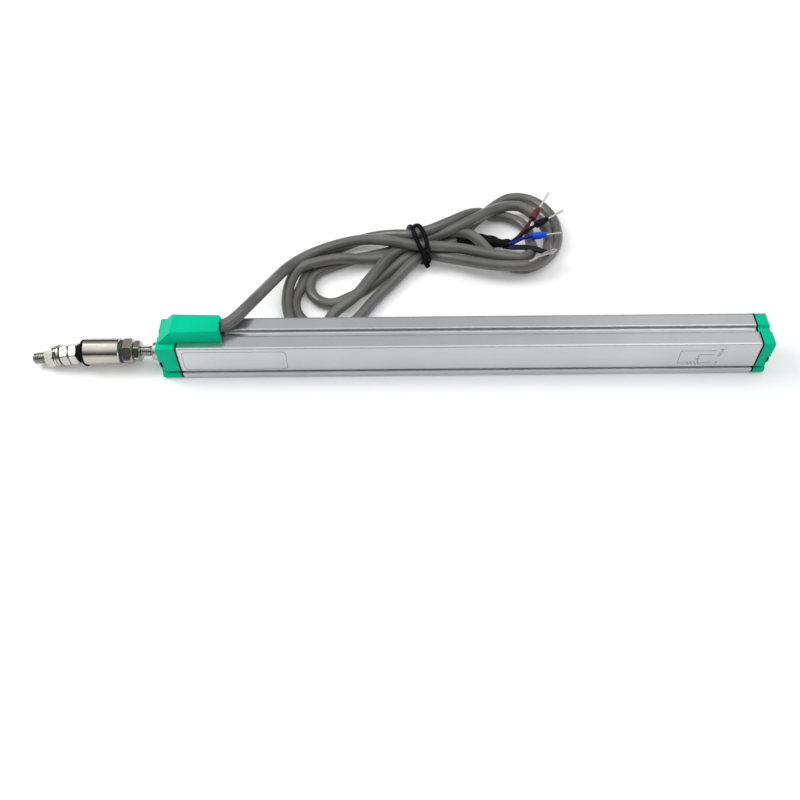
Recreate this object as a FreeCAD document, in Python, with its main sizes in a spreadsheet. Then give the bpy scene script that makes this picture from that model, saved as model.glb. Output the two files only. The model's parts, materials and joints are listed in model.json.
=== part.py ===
import FreeCAD, Part
import math
import os

import Sketcher

# Rod linear position sensor: an extruded housing with a sliding rod, a ball coupling and a tied cable.
# Frame: +X from the rod end to the rear cap, +Y to the side the cable lies on, +Z up.
# The origin is the centre of the housing's base.

SIZES = {
    # extruded housing
    "profile_length": 295.0,
    "profile_width": 21.8,
    "profile_height": 22.3,
    "profile_edge": 0.9,
    "groove_width": 4.8,
    "groove_floor": 2.6,
    "groove_depth": 1.7,
    "slot_low": 3.7,
    "slot_height": 1.8,
    "slot_depth": 1.8,
    "cavity_width": 11.2,
    "cavity_height": 15.4,
    "roof_thickness": 3.9,
    # track board and its clips
    "track_width": 13.0,
    "track_thickness": 1.0,
    "track_headroom": 2.1,
    "track_clearance": 0.1,
    "track_inset": 0.6,
    "clip_length": 4.4,
    "clip_width": 1.8,
    "clip_wall": 0.3,
    "clip_pitch": 2.6,
    # end caps, their seals and screws
    "gasket_thickness": 0.9,
    "front_cap_depth": 9.9,
    "rear_cap_depth": 6.1,
    "cap_edge": 0.7,
    "spigot_clearance": 0.1,
    "spigot_drop": 1.1,
    "front_spigot_length": 5.8,
    "rear_spigot_length": 3.4,
    "screw_spacing": 16.2,
    "screw_height": 9.0,
    "screw_radius": 1.25,
    "screw_grip": 7.0,
    "screw_clearance": 0.15,
    "screw_head_radius": 2.7,
    "screw_head_height": 1.9,
    "seat_depth": 1.7,
    "seat_room": 0.2,
    "seat_margin": 0.8,
    # cable block on the front cap
    "block_height": 7.7,
    "block_reach": 22.2,
    "block_setback": 0.9,
    "ramp_run": 7.6,
    "block_front_width": 14.0,
    "block_rear_width": 12.3,
    "block_draft": 0.3,
    "block_corner": 1.8,
    "block_edge": 0.9,
    "chamber_width": 8.0,
    "chamber_drop": 0.7,
    "chamber_cover": 1.8,
    "chamber_setback": 4.3,
    "chamber_wall": 2.4,
    "chamber_reach": 15.0,
    # rod and its guide
    "rod_drop": 13.2,
    "rod_radius": 3.0,
    "thread_radius": 2.95,
    "thread_chamfer": 0.6,
    "rod_clearance": 0.04,
    "rod_passage": 0.35,
    "bush_radius": 4.7,
    "bush_length": 6.0,
    "bush_proud": 0.7,
    "bush_edge": 0.5,
    "seal_length": 2.6,
    "stub_radius": 2.0,
    # carriage and stops
    "carriage_length": 26.0,
    "carriage_clearance": 0.25,
    "carriage_waist": 0.8,
    "carriage_shoe": 3.0,
    "wiper_thickness": 0.3,
    "wiper_width": 8.4,
    "wiper_foot": 5.0,
    "wiper_arm": 7.0,
    "wiper_slot": 0.9,
    "wiper_gap": 0.05,
    "wiper_rise": 1.3,
    "carriage_nut_flats": 7.0,
    "carriage_nut_thickness": 2.8,
    "stop_thickness": 3.0,
    "stop_gap": 0.3,
    # coupling on the rod's thread
    "rod_reach": 11.2,
    "nut_flats": 10.0,
    "nut_thickness": 5.0,
    "nut_chamfer": 0.45,
    "bore_clearance": 0.03,
    "jam_nut_thickness": 3.6,
    "jam_nut_roll": 12.0,
    "hex_flats": 12.0,
    "hex_length": 5.5,
    "hex_roll": 20.0,
    "hex_spigot_length": 3.0,
    "thread_grip": 8.0,
    "ring_width": 1.3,
    "ring_step": 0.8,
    "sleeve_wall": 1.45,
    "sleeve_edge": 0.5,
    "mouth_lip": 0.6,
    "mouth_cover": 0.7,
    # ball joint
    "ball_radius": 5.0,
    "ball_clearance": 0.06,
    "ball_room": 0.45,
    "seat_front": 1.7,
    "seat_floor": 0.9,
    "seat_clearance": 0.05,
    "spring_length": 4.2,
    "spring_wall": 0.8,
    "spring_bore": 2.8,
    "spring_room": 0.35,
    "stud_droop": 8.6,
    "neck_radius": 2.5,
    "collar_start": 9.3,
    "collar_length": 4.5,
    "collar_roll": 44.0,
    "stud_radius": 3.0,
    "stud_pitch_radius": 2.675,
    "stud_free_end": 7.5,
    "stud_relief": 0.3,
    "inner_nut_roll": 44.0,
    "outer_nut_roll": 0.0,
    "washer_radius": 6.0,
    "washer_clearance": 0.2,
    "washer_thickness": 1.6,
    "spring_washer_radius": 5.75,
    "spring_washer_thickness": 1.6,
    "spring_washer_gap": 0.9,
    "boot_overhang": 0.3,
    "boot_flange": 1.2,
    "boot_wall": 0.7,
    "boot_neck_wall": 1.65,
    "boot_gap": 0.1,
    "boot_neck_gap": 0.2,
    # cable, grommet and leads
    "cable_radius": 3.1,
    "cable_fit": 0.1,
    "grommet_wall": 0.5,
    "grommet_depth": 3.5,
    "grommet_proud": 0.4,
    "conductor_radius": 0.55,
    "conductor_rise": 1.5,
    "hank_height": 6.6,
    "waist_height": 15.0,
    "waist_length": 26.0,
    "waist_width": 19.0,
    "waist_edge": 4.0,
    "tie_length": 5.0,
    "tie_wall": 1.2,
    "shrink_radius": 3.4,
    "lead_radius": 0.75,
    "lead_end": 5.0,
    "ferrule_mouth": 1.8,
    "ferrule_throat": 1.3,
    "ferrule_length": 8.4,
    "ferrule_pin_radius": 0.65,
    "shield_radius": 1.6,
    "braid_radius": 0.7,
}

# The cable's free stretch from the block to the tie, and what lies on the floor past it.
CABLE_ROUTE = [
    (-132.5, 0.0, 26.15),
    (-124.0, 0.0, 26.15),
    (-117.6, 5.0, 26.8),
    (-113.0, 18.0, 25.6),
    (-105.5, 41.5, 17.4),
    (-96.4, 63.8, 9.0),
    (-79.5, 78.6, 5.9),
    (-56.5, 86.2, 6.6),
    (-35.0, 81.9, 9.0),
]
TIE = (-22.0, 82.0)
TIE_TURN = 12.0
LEFT_LOBE = {
    "centre": (-72.5, 45.1),
    "radius": 27.5,
    "hole": (-71.0, 52.5),
    "hole_radius": 10.0,
    "hole_apex": (-44.0, 69.0),
}
RIGHT_LOBE = {
    "centre": (28.0, 94.1),
    "radius": 33.5,
    "hole": (26.5, 94.5),
    "hole_radius": 15.5,
    "hole_apex": (-5.0, 87.0),
}
SHRINK_ROUTE = [(-6.0, 86.5, 7.5), (8.0, 90.5, 4.9), (20.0, 88.4, 4.0), (31.3, 84.6, 4.0)]
# Each lead's points up to the straight end that goes into its ferrule
LEAD_ROUTES = {
    "brown": [(30.9, 86.6, 4.3), (38.0, 92.6, 7.3)],
    "black": [(30.6, 85.6, 5.6), (36.6, 88.8, 7.6)],
    "blue": [(30.1, 84.1, 5.5), (34.6, 84.4, 7.7)],
}
# Each ferrule's mouth and tip
FERRULES = {
    "brown": [(43.9, 100.8, 10.0), (54.9, 116.9, 16.0)],
    "black": [(45.6, 95.7, 9.5), (62.2, 103.7, 13.5)],
    "blue": [(42.6, 86.3, 9.0), (60.7, 88.3, 10.0)],
}
SHIELD_ROUTE = [(29.9, 83.7, 2.9), (38.4, 78.0, 8.2), (49.2, 72.0, 8.4)]
BRAID_END = (54.8, 73.6, 9.0)
ARC_SHARE = 0.45

doc = FreeCAD.newDocument("rod_position_sensor")
sheet = doc.addObject("Spreadsheet::Sheet", "dim")
for row, (alias, size) in enumerate(SIZES.items(), 1):
    sheet.set(f"A{row}", alias)
    sheet.set(f"B{row}", str(size))
    sheet.setAlias(f"B{row}", alias)
doc.recompute()

NODES = []

# Stations along X, as expressions of the sheet's cells
FRONT_END = "(-dim.profile_length / 2)"
REAR_END = "(dim.profile_length / 2)"
FRONT_SEAT = f"({FRONT_END} - dim.gasket_thickness)"
REAR_SEAT = f"({REAR_END} + dim.gasket_thickness)"
FRONT_FACE = f"({FRONT_SEAT} - dim.front_cap_depth)"
REAR_FACE = f"({REAR_SEAT} + dim.rear_cap_depth)"
BLOCK_END = f"({FRONT_END} + dim.block_reach)"
REAR_STOP = f"({REAR_SEAT} - dim.rear_spigot_length - dim.stop_thickness)"
CARRIAGE_REAR = f"({REAR_STOP} - dim.stop_gap)"
CARRIAGE_FRONT = f"({CARRIAGE_REAR} - dim.carriage_length)"
JAM_NUT = f"({FRONT_FACE} - dim.rod_reach - dim.jam_nut_thickness)"
HEX = f"({JAM_NUT} - dim.hex_length)"
RING = f"({HEX} - dim.ring_width)"

# The coupling, sized round its ball: the ball's place in the sleeve, the seat behind it and the spring
MOUTH_RADIUS = "(dim.ball_radius - dim.mouth_lip)"
SLEEVE_BORE = "(dim.ball_radius + dim.ball_room)"
SLEEVE_RADIUS = f"({SLEEVE_BORE} + dim.sleeve_wall)"
BALL_DEPTH = "(dim.ball_radius + dim.mouth_cover)"
SEAT_BACK = "(dim.ball_radius + dim.seat_floor)"
SLEEVE_BACK = f"({SEAT_BACK} + dim.spring_length + dim.hex_spigot_length)"
BALL = f"({RING} - {SLEEVE_BACK})"
SLEEVE = f"({BALL} - {BALL_DEPTH})"

# Heights in the housing, counted down from its top, and in the cable block
BLOCK_TOP = "(dim.profile_height + dim.block_height)"
CABLE_AXIS = "(dim.profile_height + dim.block_height / 2)"
CHAMBER_ROOF = f"({BLOCK_TOP} - dim.chamber_cover)"
ROD_AXIS = "(dim.profile_height - dim.rod_drop)"
CAVITY_TOP = "(dim.profile_height - dim.roof_thickness)"
CAVITY_FLOOR = f"({CAVITY_TOP} - dim.cavity_height)"
TRACK_TOP = f"({CAVITY_TOP} - dim.track_headroom)"
TRACK = f"({TRACK_TOP} - dim.track_thickness)"
CARRIAGE_TOP = f"({TRACK} - dim.wiper_rise)"
SPIGOT_TOP = f"({TRACK} - dim.spigot_drop)"

# Stations along the ball stud, counted outward from the ball's centre
COLLAR_END = "(dim.collar_start + dim.collar_length)"
INNER_NUT_END = f"({COLLAR_END} + dim.nut_thickness)"
WASHER_END = f"({INNER_NUT_END} + dim.washer_thickness)"
SPRING_WASHER_END = f"({WASHER_END} + dim.spring_washer_thickness)"
OUTER_NUT_END = f"({SPRING_WASHER_END} + dim.nut_thickness)"
STUD_END = f"({OUTER_NUT_END} + dim.stud_free_end)"


def value(expression):
    """The number that an expression of the sheet's cells gives."""
    result = sheet.evalExpression(expression)
    return float(getattr(result, "Value", result))


def node(item, label):
    """Names a finished sub-part, which is written to a file of that name."""
    item.Label = label
    NODES.append(item)
    return item


def place(item, x="0", y="0", z="0"):
    """Ties an object's position to the sheet."""
    for axis, expression in zip("xyz", (x, y, z)):
        item.setExpression(f"Placement.Base.{axis}", expression)


def place_on_stud(item):
    """Seats an object in the ball stud's frame: origin at the ball, leaning with the stud."""
    item.Placement = FreeCAD.Placement(FreeCAD.Vector(), FreeCAD.Rotation(FreeCAD.Vector(0, 1, 0), -1))
    item.setExpression("Placement.Rotation.Angle", "-dim.stud_droop")
    place(item, BALL, "0", ROD_AXIS)


def new_body(label):
    return node(doc.addObject("PartDesign::Body", label), label)


def sketch_on(body, role, offset="0"):
    """A sketch on one of the body's own origin planes, shifted along the plane's normal."""
    sketch = body.newObject("Sketcher::SketchObject", f"{body.Name}_sketch")
    plane = next(item for item in body.Origin.OriginFeatures if item.Role == role)
    sketch.AttachmentSupport = (plane, "")
    sketch.MapMode = "FlatFace"
    sketch.setExpression("AttachmentOffset.Base.z", offset)
    return sketch


def pin_point(sketch, geometry, point, x, y):
    """Fixes a point of the sketch at two expressions."""
    for kind, expression in (("DistanceX", x), ("DistanceY", y)):
        constraint = Sketcher.Constraint(kind, -1, 1, geometry, point, value(expression))
        index = sketch.addConstraint(constraint)
        sketch.setExpression(f"Constraints[{index}]", expression)


def outline(sketch, corners):
    """Adds a closed outline whose corners are pairs of expressions."""
    first = sketch.GeometryCount
    points = [FreeCAD.Vector(value(x), value(y), 0) for x, y in corners]
    for start, end in zip(points, points[1:] + points[:1]):
        sketch.addGeometry(Part.LineSegment(start, end))
    for index, (x, y) in enumerate(corners):
        before = first + (index - 1) % len(corners)
        sketch.addConstraint(Sketcher.Constraint("Coincident", before, 2, first + index, 1))
        pin_point(sketch, first + index, 1, x, y)


def circle(sketch, x, y, radius):
    """Adds a circle whose centre and radius are expressions."""
    centre = FreeCAD.Vector(value(x), value(y), 0)
    geometry = sketch.addGeometry(Part.Circle(centre, FreeCAD.Vector(0, 0, 1), value(radius)))
    pin_point(sketch, geometry, 3, x, y)
    index = sketch.addConstraint(Sketcher.Constraint("Radius", geometry, value(radius)))
    sketch.setExpression(f"Constraints[{index}]", radius)


def rectangle(sketch, low_x, low_y, high_x, high_y):
    outline(sketch, [(low_x, low_y), (high_x, low_y), (high_x, high_y), (low_x, high_y)])


def hexagon(sketch, flats, roll="0"):
    """Adds a hexagon about the sketch's origin."""
    corner = f"{flats} / sqrt(3)"
    angles = [f"{60 * side} + {roll}" for side in range(6)]
    outline(sketch, [(f"{corner} * cos({angle})", f"{corner} * sin({angle})") for angle in angles])


def feature(body, kind, sketch, length, symmetric=False, reverse=False):
    """A pad or pocket of a sketch."""
    item = body.newObject(f"PartDesign::{kind}", f"{body.Name}_{kind.lower()}")
    item.Profile = sketch
    item.setExpression("Length", length)
    item.Reversed = reverse
    if symmetric:
        item.SideType = "Symmetric"
    return item


def cut(body, sketch, length, symmetric=False, reverse=False):
    """A pocket that has to remove material."""
    doc.recompute()
    before = body.Shape.Volume
    item = feature(body, "Pocket", sketch, length, symmetric, reverse)
    doc.recompute()
    if not body.Shape.Volume < before:
        raise ValueError(f"{body.Label}: a pocket cuts nothing")
    return item


def spin(body, corners, kind="Revolution"):
    """Turns an outline of (x, radius) corners about the body's X axis."""
    sketch = sketch_on(body, "XZ_Plane")
    outline(sketch, corners)
    item = body.newObject(f"PartDesign::{kind}", f"{body.Name}_{kind.lower()}")
    item.Profile = sketch
    item.ReferenceAxis = (sketch, ["H_Axis"])
    item.Angle = 360
    return item


def turned(label, corners, x="0", z=ROD_AXIS):
    """A round piece on an axis along X."""
    body = new_body(label)
    spin(body, corners)
    place(body, x, "0", z)
    return body


def ring(label, length, outer, inner, x, z=ROD_AXIS):
    """A plain ring on an axis along X, from x onward."""
    return turned(label, [("0", inner), (length, inner), (length, outer), ("0", outer)], x, z)


def bevel_hex(body, flats, start, end):
    """Turns the corners off both ends of a hexagon that lies between two stations."""
    inner = f"({flats} / 2 - dim.nut_chamfer)"
    outer = f"({flats} / sqrt(3) + dim.nut_chamfer)"
    slope = f"(({outer} - {inner}) * tan(30))"
    spin(body, [(start, inner), (start, outer), (f"{start} + {slope}", outer)], "Groove")
    spin(body, [(end, inner), (end, outer), (f"{end} - {slope}", outer)], "Groove")


def hex_nut(label, thickness, flats, roll, bore, start="0"):
    """A hexagon nut from a station onward, with a plain bore."""
    body = new_body(label)
    sketch = sketch_on(body, "YZ_Plane", start)
    hexagon(sketch, flats, roll)
    circle(sketch, "0", "0", bore)
    feature(body, "Pad", sketch, thickness)
    bevel_hex(body, flats, start, f"({start} + {thickness})")
    return body


def edge_names(shape, test):
    return [f"Edge{index}" for index, edge in enumerate(shape.Edges, 1) if test(edge)]


def round_edges(body, radius, test):
    """Rounds the edges of the body so far that pass a test."""
    doc.recompute()
    base = body.Tip
    names = edge_names(base.Shape, test)
    item = body.newObject("PartDesign::Fillet", f"{body.Name}_fillet")
    item.Base = (base, names)
    item.setExpression("Radius", radius)
    doc.recompute()
    return item


def near(number, expression):
    return abs(number - value(expression)) < 1e-4


def mirrored(right):
    """Closes a half outline with its mirror image across the sketch's Y axis."""
    return right + [(f"-({x})", y) for x, y in reversed(right)]


def profile_outline():
    """The housing's section, with the clamp slots and the top groove."""
    half = "(dim.profile_width / 2)"
    slot = f"({half} - dim.slot_depth)"
    slot_high = "(dim.slot_low + dim.slot_height)"
    floor = "(dim.profile_height - dim.groove_depth)"
    return mirrored([
        (half, "0"),
        (half, "dim.slot_low"),
        (slot, "dim.slot_low"),
        (slot, slot_high),
        (half, slot_high),
        (half, "dim.profile_height"),
        ("dim.groove_width / 2", "dim.profile_height"),
        ("dim.groove_floor / 2", floor),
    ])


def cavity_outline():
    """The channel for the carriage, with a groove each side for the track board."""
    half = "(dim.cavity_width / 2)"
    groove = "(dim.track_width / 2 + dim.track_clearance)"
    low = f"({TRACK} - dim.track_clearance)"
    high = f"({TRACK_TOP} + dim.track_clearance)"
    return mirrored([
        (half, CAVITY_FLOOR),
        (half, low),
        (groove, low),
        (groove, high),
        (half, high),
        (half, CAVITY_TOP),
    ])


def screw_circles(sketch, radius):
    for side in ("", "-"):
        circle(sketch, f"{side}dim.screw_spacing / 2", "dim.screw_height", radius)


def on_corner_line(edge):
    """True for a long outer edge along X at the top or the base of the housing's section."""
    box = edge.BoundBox
    along_x = box.YLength < 1e-6 and box.ZLength < 1e-6
    outer = near(abs(box.YMin), "dim.profile_width / 2")
    level = near(box.ZMin, "0") or near(box.ZMin, "dim.profile_height")
    return along_x and outer and level


def housing():
    body = new_body("housing_profile")
    sketch = sketch_on(body, "YZ_Plane", FRONT_END)
    outline(sketch, profile_outline())
    outline(sketch, cavity_outline())
    screw_circles(sketch, "dim.screw_radius")
    feature(body, "Pad", sketch, "dim.profile_length")
    round_edges(body, "dim.profile_edge", on_corner_line)


def gasket(label, station):
    body = new_body(label)
    sketch = sketch_on(body, "YZ_Plane", station)
    outline(sketch, profile_outline())
    half = "dim.cavity_width / 2"
    rectangle(sketch, f"-{half}", CAVITY_FLOOR, half, CAVITY_TOP)
    screw_circles(sketch, "(dim.screw_radius + dim.screw_clearance)")
    feature(body, "Pad", sketch, "dim.gasket_thickness")
    round_edges(body, "dim.profile_edge", on_corner_line)


def cap_body(label, station, depth, face):
    """A cap's outer plate, with the section of the housing and a rounded rim on its outer face."""
    body = new_body(label)
    sketch = sketch_on(body, "YZ_Plane", station)
    outline(sketch, profile_outline())
    feature(body, "Pad", sketch, depth)
    round_edges(body, "dim.profile_edge", on_corner_line)

    def outer_rim(edge):
        box = edge.BoundBox
        on_face = near(box.XMin, face) and near(box.XMax, face)
        top_strip = near(box.ZMin, "dim.profile_height")
        side = near(box.YMin, "-dim.profile_width / 2") or near(box.YMax, "dim.profile_width / 2")
        return on_face and (top_strip or side)

    round_edges(body, "dim.cap_edge", outer_rim)
    return body


def cap_spigot(body, station, length, reverse):
    """The tongue that locates a cap in the housing's channel."""
    half = "(dim.cavity_width / 2 - dim.spigot_clearance)"
    sketch = sketch_on(body, "YZ_Plane", station)
    rectangle(sketch, f"-{half}", f"{CAVITY_FLOOR} + dim.spigot_clearance", half, SPIGOT_TOP)
    feature(body, "Pad", sketch, length, reverse=reverse)


def cap_fixings(body, face, depth, reverse):
    """Screw seats that open to the cap's sides, and the screw holes."""
    sketch = sketch_on(body, "YZ_Plane", face)
    inner = "(dim.screw_spacing / 2 - dim.screw_head_radius - dim.seat_room)"
    outer = "(dim.profile_width / 2 + dim.seat_depth)"
    reach = "(dim.screw_head_radius + dim.seat_margin)"
    low = f"(dim.screw_height - {reach})"
    high = f"(dim.screw_height + {reach})"
    rectangle(sketch, inner, low, outer, high)
    rectangle(sketch, f"-{outer}", low, f"-{inner}", high)
    cut(body, sketch, "dim.seat_depth", reverse=reverse)
    holes = sketch_on(body, "YZ_Plane", face)
    screw_circles(holes, "(dim.screw_radius + dim.screw_clearance)")
    cut(body, holes, depth, reverse=reverse)


def block_section(body, level, front, inset):
    """A level section of the cable block, narrower towards the cable."""
    sketch = sketch_on(body, "XY_Plane", level)
    wide = f"(dim.block_front_width / 2 - {inset})"
    slim = f"(dim.block_rear_width / 2 - {inset})"
    outline(sketch, [(front, f"-{wide}"), (BLOCK_END, f"-{slim}"), (BLOCK_END, slim), (front, wide)])
    return sketch


def cable_block(body):
    """The sloped block for the cable, drafted from its foot to its top."""
    foot_front = f"({FRONT_FACE} + dim.block_setback)"
    foot = block_section(body, "dim.profile_height", foot_front, "0")
    top = block_section(body, BLOCK_TOP, f"({foot_front} + dim.ramp_run)", "dim.block_draft")
    loft = body.newObject("PartDesign::AdditiveLoft", "cable_block")
    loft.Profile = foot
    loft.Sections = [top]
    loft.Ruled = True

    def end_corner(edge):
        box = edge.BoundBox
        upright = box.ZLength > value("dim.block_height") / 2
        return upright and near(box.XMax, BLOCK_END) and near(box.ZMax, BLOCK_TOP)

    def top_edge(edge):
        box = edge.BoundBox
        return near(box.ZMin, BLOCK_TOP) and near(box.ZMax, BLOCK_TOP)

    round_edges(body, "dim.block_corner", end_corner)
    round_edges(body, "dim.block_edge", top_edge)


def front_cap():
    body = cap_body("front_cap", FRONT_FACE, "dim.front_cap_depth", FRONT_FACE)
    cable_block(body)
    cap_spigot(body, FRONT_SEAT, "dim.front_spigot_length", False)
    cap_fixings(body, FRONT_FACE, "dim.front_cap_depth", True)
    guide = sketch_on(body, "YZ_Plane", FRONT_FACE)
    circle(guide, "0", ROD_AXIS, "dim.bush_radius")
    cut(body, guide, "dim.bush_length + dim.seal_length", reverse=True)
    passage = sketch_on(body, "YZ_Plane", FRONT_FACE)
    circle(passage, "0", ROD_AXIS, "dim.rod_radius + dim.rod_passage")
    cut(body, passage, "dim.front_cap_depth + dim.front_spigot_length", reverse=True)
    # chamber for the conductors, from the channel up into the block
    chamber = sketch_on(body, "XZ_Plane")
    back = f"({FRONT_FACE} + dim.chamber_setback)"
    reach = f"({FRONT_END} + dim.chamber_reach)"
    floor = f"({TRACK} - dim.chamber_drop)"
    ledge = "(dim.profile_height + dim.chamber_wall / 2)"
    slope_foot = "(dim.profile_height - dim.chamber_wall / 2)"
    slope_run = f"({CHAMBER_ROOF} - {slope_foot})"
    outline(chamber, [
        (back, floor),
        (FRONT_SEAT, floor),
        (FRONT_SEAT, ledge),
        (reach, ledge),
        (reach, CHAMBER_ROOF),
        (f"({back} + {slope_run})", CHAMBER_ROOF),
        (back, slope_foot),
    ])
    cut(body, chamber, "dim.chamber_width", symmetric=True)
    # cable passage with a wider seat for the grommet
    bore = sketch_on(body, "YZ_Plane", BLOCK_END)
    circle(bore, "0", CABLE_AXIS, "dim.cable_radius + dim.cable_fit")
    cut(body, bore, "dim.block_reach - dim.chamber_reach")
    seat = sketch_on(body, "YZ_Plane", BLOCK_END)
    circle(seat, "0", CABLE_AXIS, "dim.cable_radius + dim.grommet_wall")
    cut(body, seat, "dim.grommet_depth")


def rear_cap():
    body = cap_body("rear_cap", REAR_SEAT, "dim.rear_cap_depth", REAR_FACE)
    cap_spigot(body, REAR_SEAT, "dim.rear_spigot_length", True)
    cap_fixings(body, REAR_FACE, "dim.rear_cap_depth", False)


def screw_pair(label, station, cap_depth, heading):
    """Two pan head screws, one each side of the rod. The heading turns the heads outward."""
    length = f"({cap_depth} - dim.seat_depth + dim.gasket_thickness + dim.screw_grip)"
    screw = doc.addObject("PartDesign::Body", f"{label}_left")
    dome = "(dim.screw_head_radius - dim.screw_head_height / 2)"
    spin(screw, [
        (length, "0"),
        (length, "dim.screw_radius - dim.screw_clearance"),
        ("0", "dim.screw_radius - dim.screw_clearance"),
        ("0", "dim.screw_head_radius"),
        ("-dim.screw_head_height / 2", "dim.screw_head_radius"),
        ("-dim.screw_head_height", dome),
        ("-dim.screw_head_height", "0"),
    ])
    turn = FreeCAD.Rotation(FreeCAD.Vector(0, 0, 1), heading)
    screw.Placement = FreeCAD.Placement(FreeCAD.Vector(), turn)
    place(screw, station, "-dim.screw_spacing / 2", "dim.screw_height")
    other = doc.addObject("Part::Mirroring", f"{label}_right")
    other.Source = screw
    other.Normal = FreeCAD.Vector(0, 1, 0)
    pair = node(doc.addObject("Part::Compound", label), label)
    pair.Links = [screw, other]


def rod_guide():
    """The bush in the front cap, and the lip seal behind it."""
    inner = "(dim.rod_radius + dim.rod_clearance)"
    turned("rod_bush", [
        ("-dim.bush_proud", inner),
        ("dim.bush_length", inner),
        ("dim.bush_length", "dim.bush_radius"),
        ("-dim.bush_proud + dim.bush_edge", "dim.bush_radius"),
        ("-dim.bush_proud", "dim.bush_radius - dim.bush_edge"),
    ], FRONT_FACE)
    ring("rod_wiper_seal", "dim.seal_length", "dim.bush_radius", inner, f"{FRONT_FACE} + dim.bush_length")


def rod():
    """The rod, from its thread in the coupling to the stub that holds the carriage."""
    tip = f"({JAM_NUT} - dim.thread_grip + dim.jam_nut_thickness)"
    thread_end = f"({FRONT_FACE} - dim.bush_proud)"
    stub_end = f"({CARRIAGE_REAR} + dim.carriage_nut_thickness)"
    turned("rod", [
        (tip, "0"),
        (tip, "dim.thread_radius - dim.thread_chamfer"),
        (f"{tip} + dim.thread_chamfer", "dim.thread_radius"),
        (thread_end, "dim.thread_radius"),
        (thread_end, "dim.rod_radius"),
        (CARRIAGE_FRONT, "dim.rod_radius"),
        (CARRIAGE_FRONT, "dim.stub_radius"),
        (stub_end, "dim.stub_radius"),
        (stub_end, "0"),
    ])


def carriage():
    """The slider: two guide shoes joined by a narrower waist."""
    body = new_body("carriage")
    sketch = sketch_on(body, "YZ_Plane", CARRIAGE_FRONT)
    wide = "(dim.cavity_width / 2 - dim.carriage_clearance)"
    slim = f"({wide} - dim.carriage_waist)"
    low = f"({CAVITY_FLOOR} + dim.carriage_clearance)"
    outline(sketch, mirrored([
        (wide, low),
        (wide, f"{low} + dim.carriage_shoe"),
        (slim, f"{low} + dim.carriage_shoe"),
        (slim, f"{CARRIAGE_TOP} - dim.carriage_shoe"),
        (wide, f"{CARRIAGE_TOP} - dim.carriage_shoe"),
        (wide, CARRIAGE_TOP),
    ]))
    circle(sketch, "0", ROD_AXIS, "dim.stub_radius + dim.bore_clearance")
    feature(body, "Pad", sketch, "dim.carriage_length")
    nut = hex_nut(
        "carriage_nut",
        "dim.carriage_nut_thickness",
        "dim.carriage_nut_flats",
        "0",
        "dim.stub_radius + dim.bore_clearance",
    )
    place(nut, CARRIAGE_REAR, "0", ROD_AXIS)


def wiper():
    """A leaf of contact fingers on the carriage, bent up to the track."""
    body = new_body("wiper_contacts")
    leaf = sketch_on(body, "XZ_Plane")
    start = f"({CARRIAGE_REAR} - dim.wiper_foot)"
    bend = f"({start} - dim.wiper_thickness)"
    tip = f"({start} - dim.wiper_arm)"
    top = f"({CARRIAGE_TOP} + dim.wiper_thickness)"
    touch = f"({TRACK} - dim.wiper_gap)"
    outline(leaf, [
        (CARRIAGE_REAR, CARRIAGE_TOP),
        (CARRIAGE_REAR, top),
        (start, top),
        (f"{tip} + dim.wiper_thickness", touch),
        (tip, touch),
        (tip, f"{touch} - dim.wiper_thickness"),
        (bend, CARRIAGE_TOP),
    ])
    feature(body, "Pad", leaf, "dim.wiper_width", symmetric=True)
    slots = sketch_on(body, "XY_Plane", TRACK)
    for side in (-1, 1):
        middle = f"({side} * dim.wiper_width / 6)"
        low = f"({middle} - dim.wiper_slot / 2)"
        high = f"({middle} + dim.wiper_slot / 2)"
        rectangle(slots, f"{tip} - dim.wiper_slot", low, start, high)
    cut(body, slots, "dim.wiper_rise")


def track():
    """The resistive board in its grooves, with a clip for each of its three tracks."""
    board = node(doc.addObject("Part::Box", "track_strip"), "track_strip")
    board.setExpression("Length", "dim.profile_length - 2 * dim.track_inset")
    board.setExpression("Width", "dim.track_width")
    board.setExpression("Height", "dim.track_thickness")
    place(board, f"{FRONT_END} + dim.track_inset", "-dim.track_width / 2", TRACK)
    clips = []
    for index in (-1, 0, 1):
        clip = doc.addObject("PartDesign::Body", f"track_clip_{index + 1}")
        sketch = sketch_on(clip, "XZ_Plane")
        mouth = f"({FRONT_END} + dim.track_inset)"
        end = f"({mouth} + dim.clip_length)"
        back = f"({mouth} - dim.clip_wall)"
        outline(sketch, [
            (end, TRACK),
            (mouth, TRACK),
            (mouth, TRACK_TOP),
            (end, TRACK_TOP),
            (end, f"{TRACK_TOP} + dim.clip_wall"),
            (back, f"{TRACK_TOP} + dim.clip_wall"),
            (back, f"{TRACK} - dim.clip_wall"),
            (end, f"{TRACK} - dim.clip_wall"),
        ])
        feature(clip, "Pad", sketch, "dim.clip_width", symmetric=True)
        place(clip, "0", f"{index} * dim.clip_pitch", "0")
        clips.append(clip)
    group = node(doc.addObject("Part::Compound", "track_terminals"), "track_terminals")
    group.Links = clips


def stop(label, station, bore):
    """An elastic pad across the channel, with room for what passes it."""
    body = new_body(label)
    half = "(dim.cavity_width / 2 - dim.carriage_clearance)"
    pad = sketch_on(body, "YZ_Plane", station)
    rectangle(pad, f"-{half}", f"{CAVITY_FLOOR} + dim.carriage_clearance", half, CARRIAGE_TOP)
    feature(body, "Pad", pad, "dim.stop_thickness")
    hole = sketch_on(body, "YZ_Plane", station)
    circle(hole, "0", ROD_AXIS, bore)
    cut(body, hole, "dim.stop_thickness", reverse=True)


def stops():
    """The pads on the cap spigots that end the travel. The rear one goes round the carriage's nut."""
    stop("front_stop", f"({FRONT_SEAT} + dim.front_spigot_length)", "dim.rod_radius + dim.rod_passage")
    stop("rear_stop", REAR_STOP, "dim.carriage_nut_flats / sqrt(3) + dim.stop_gap")


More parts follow.
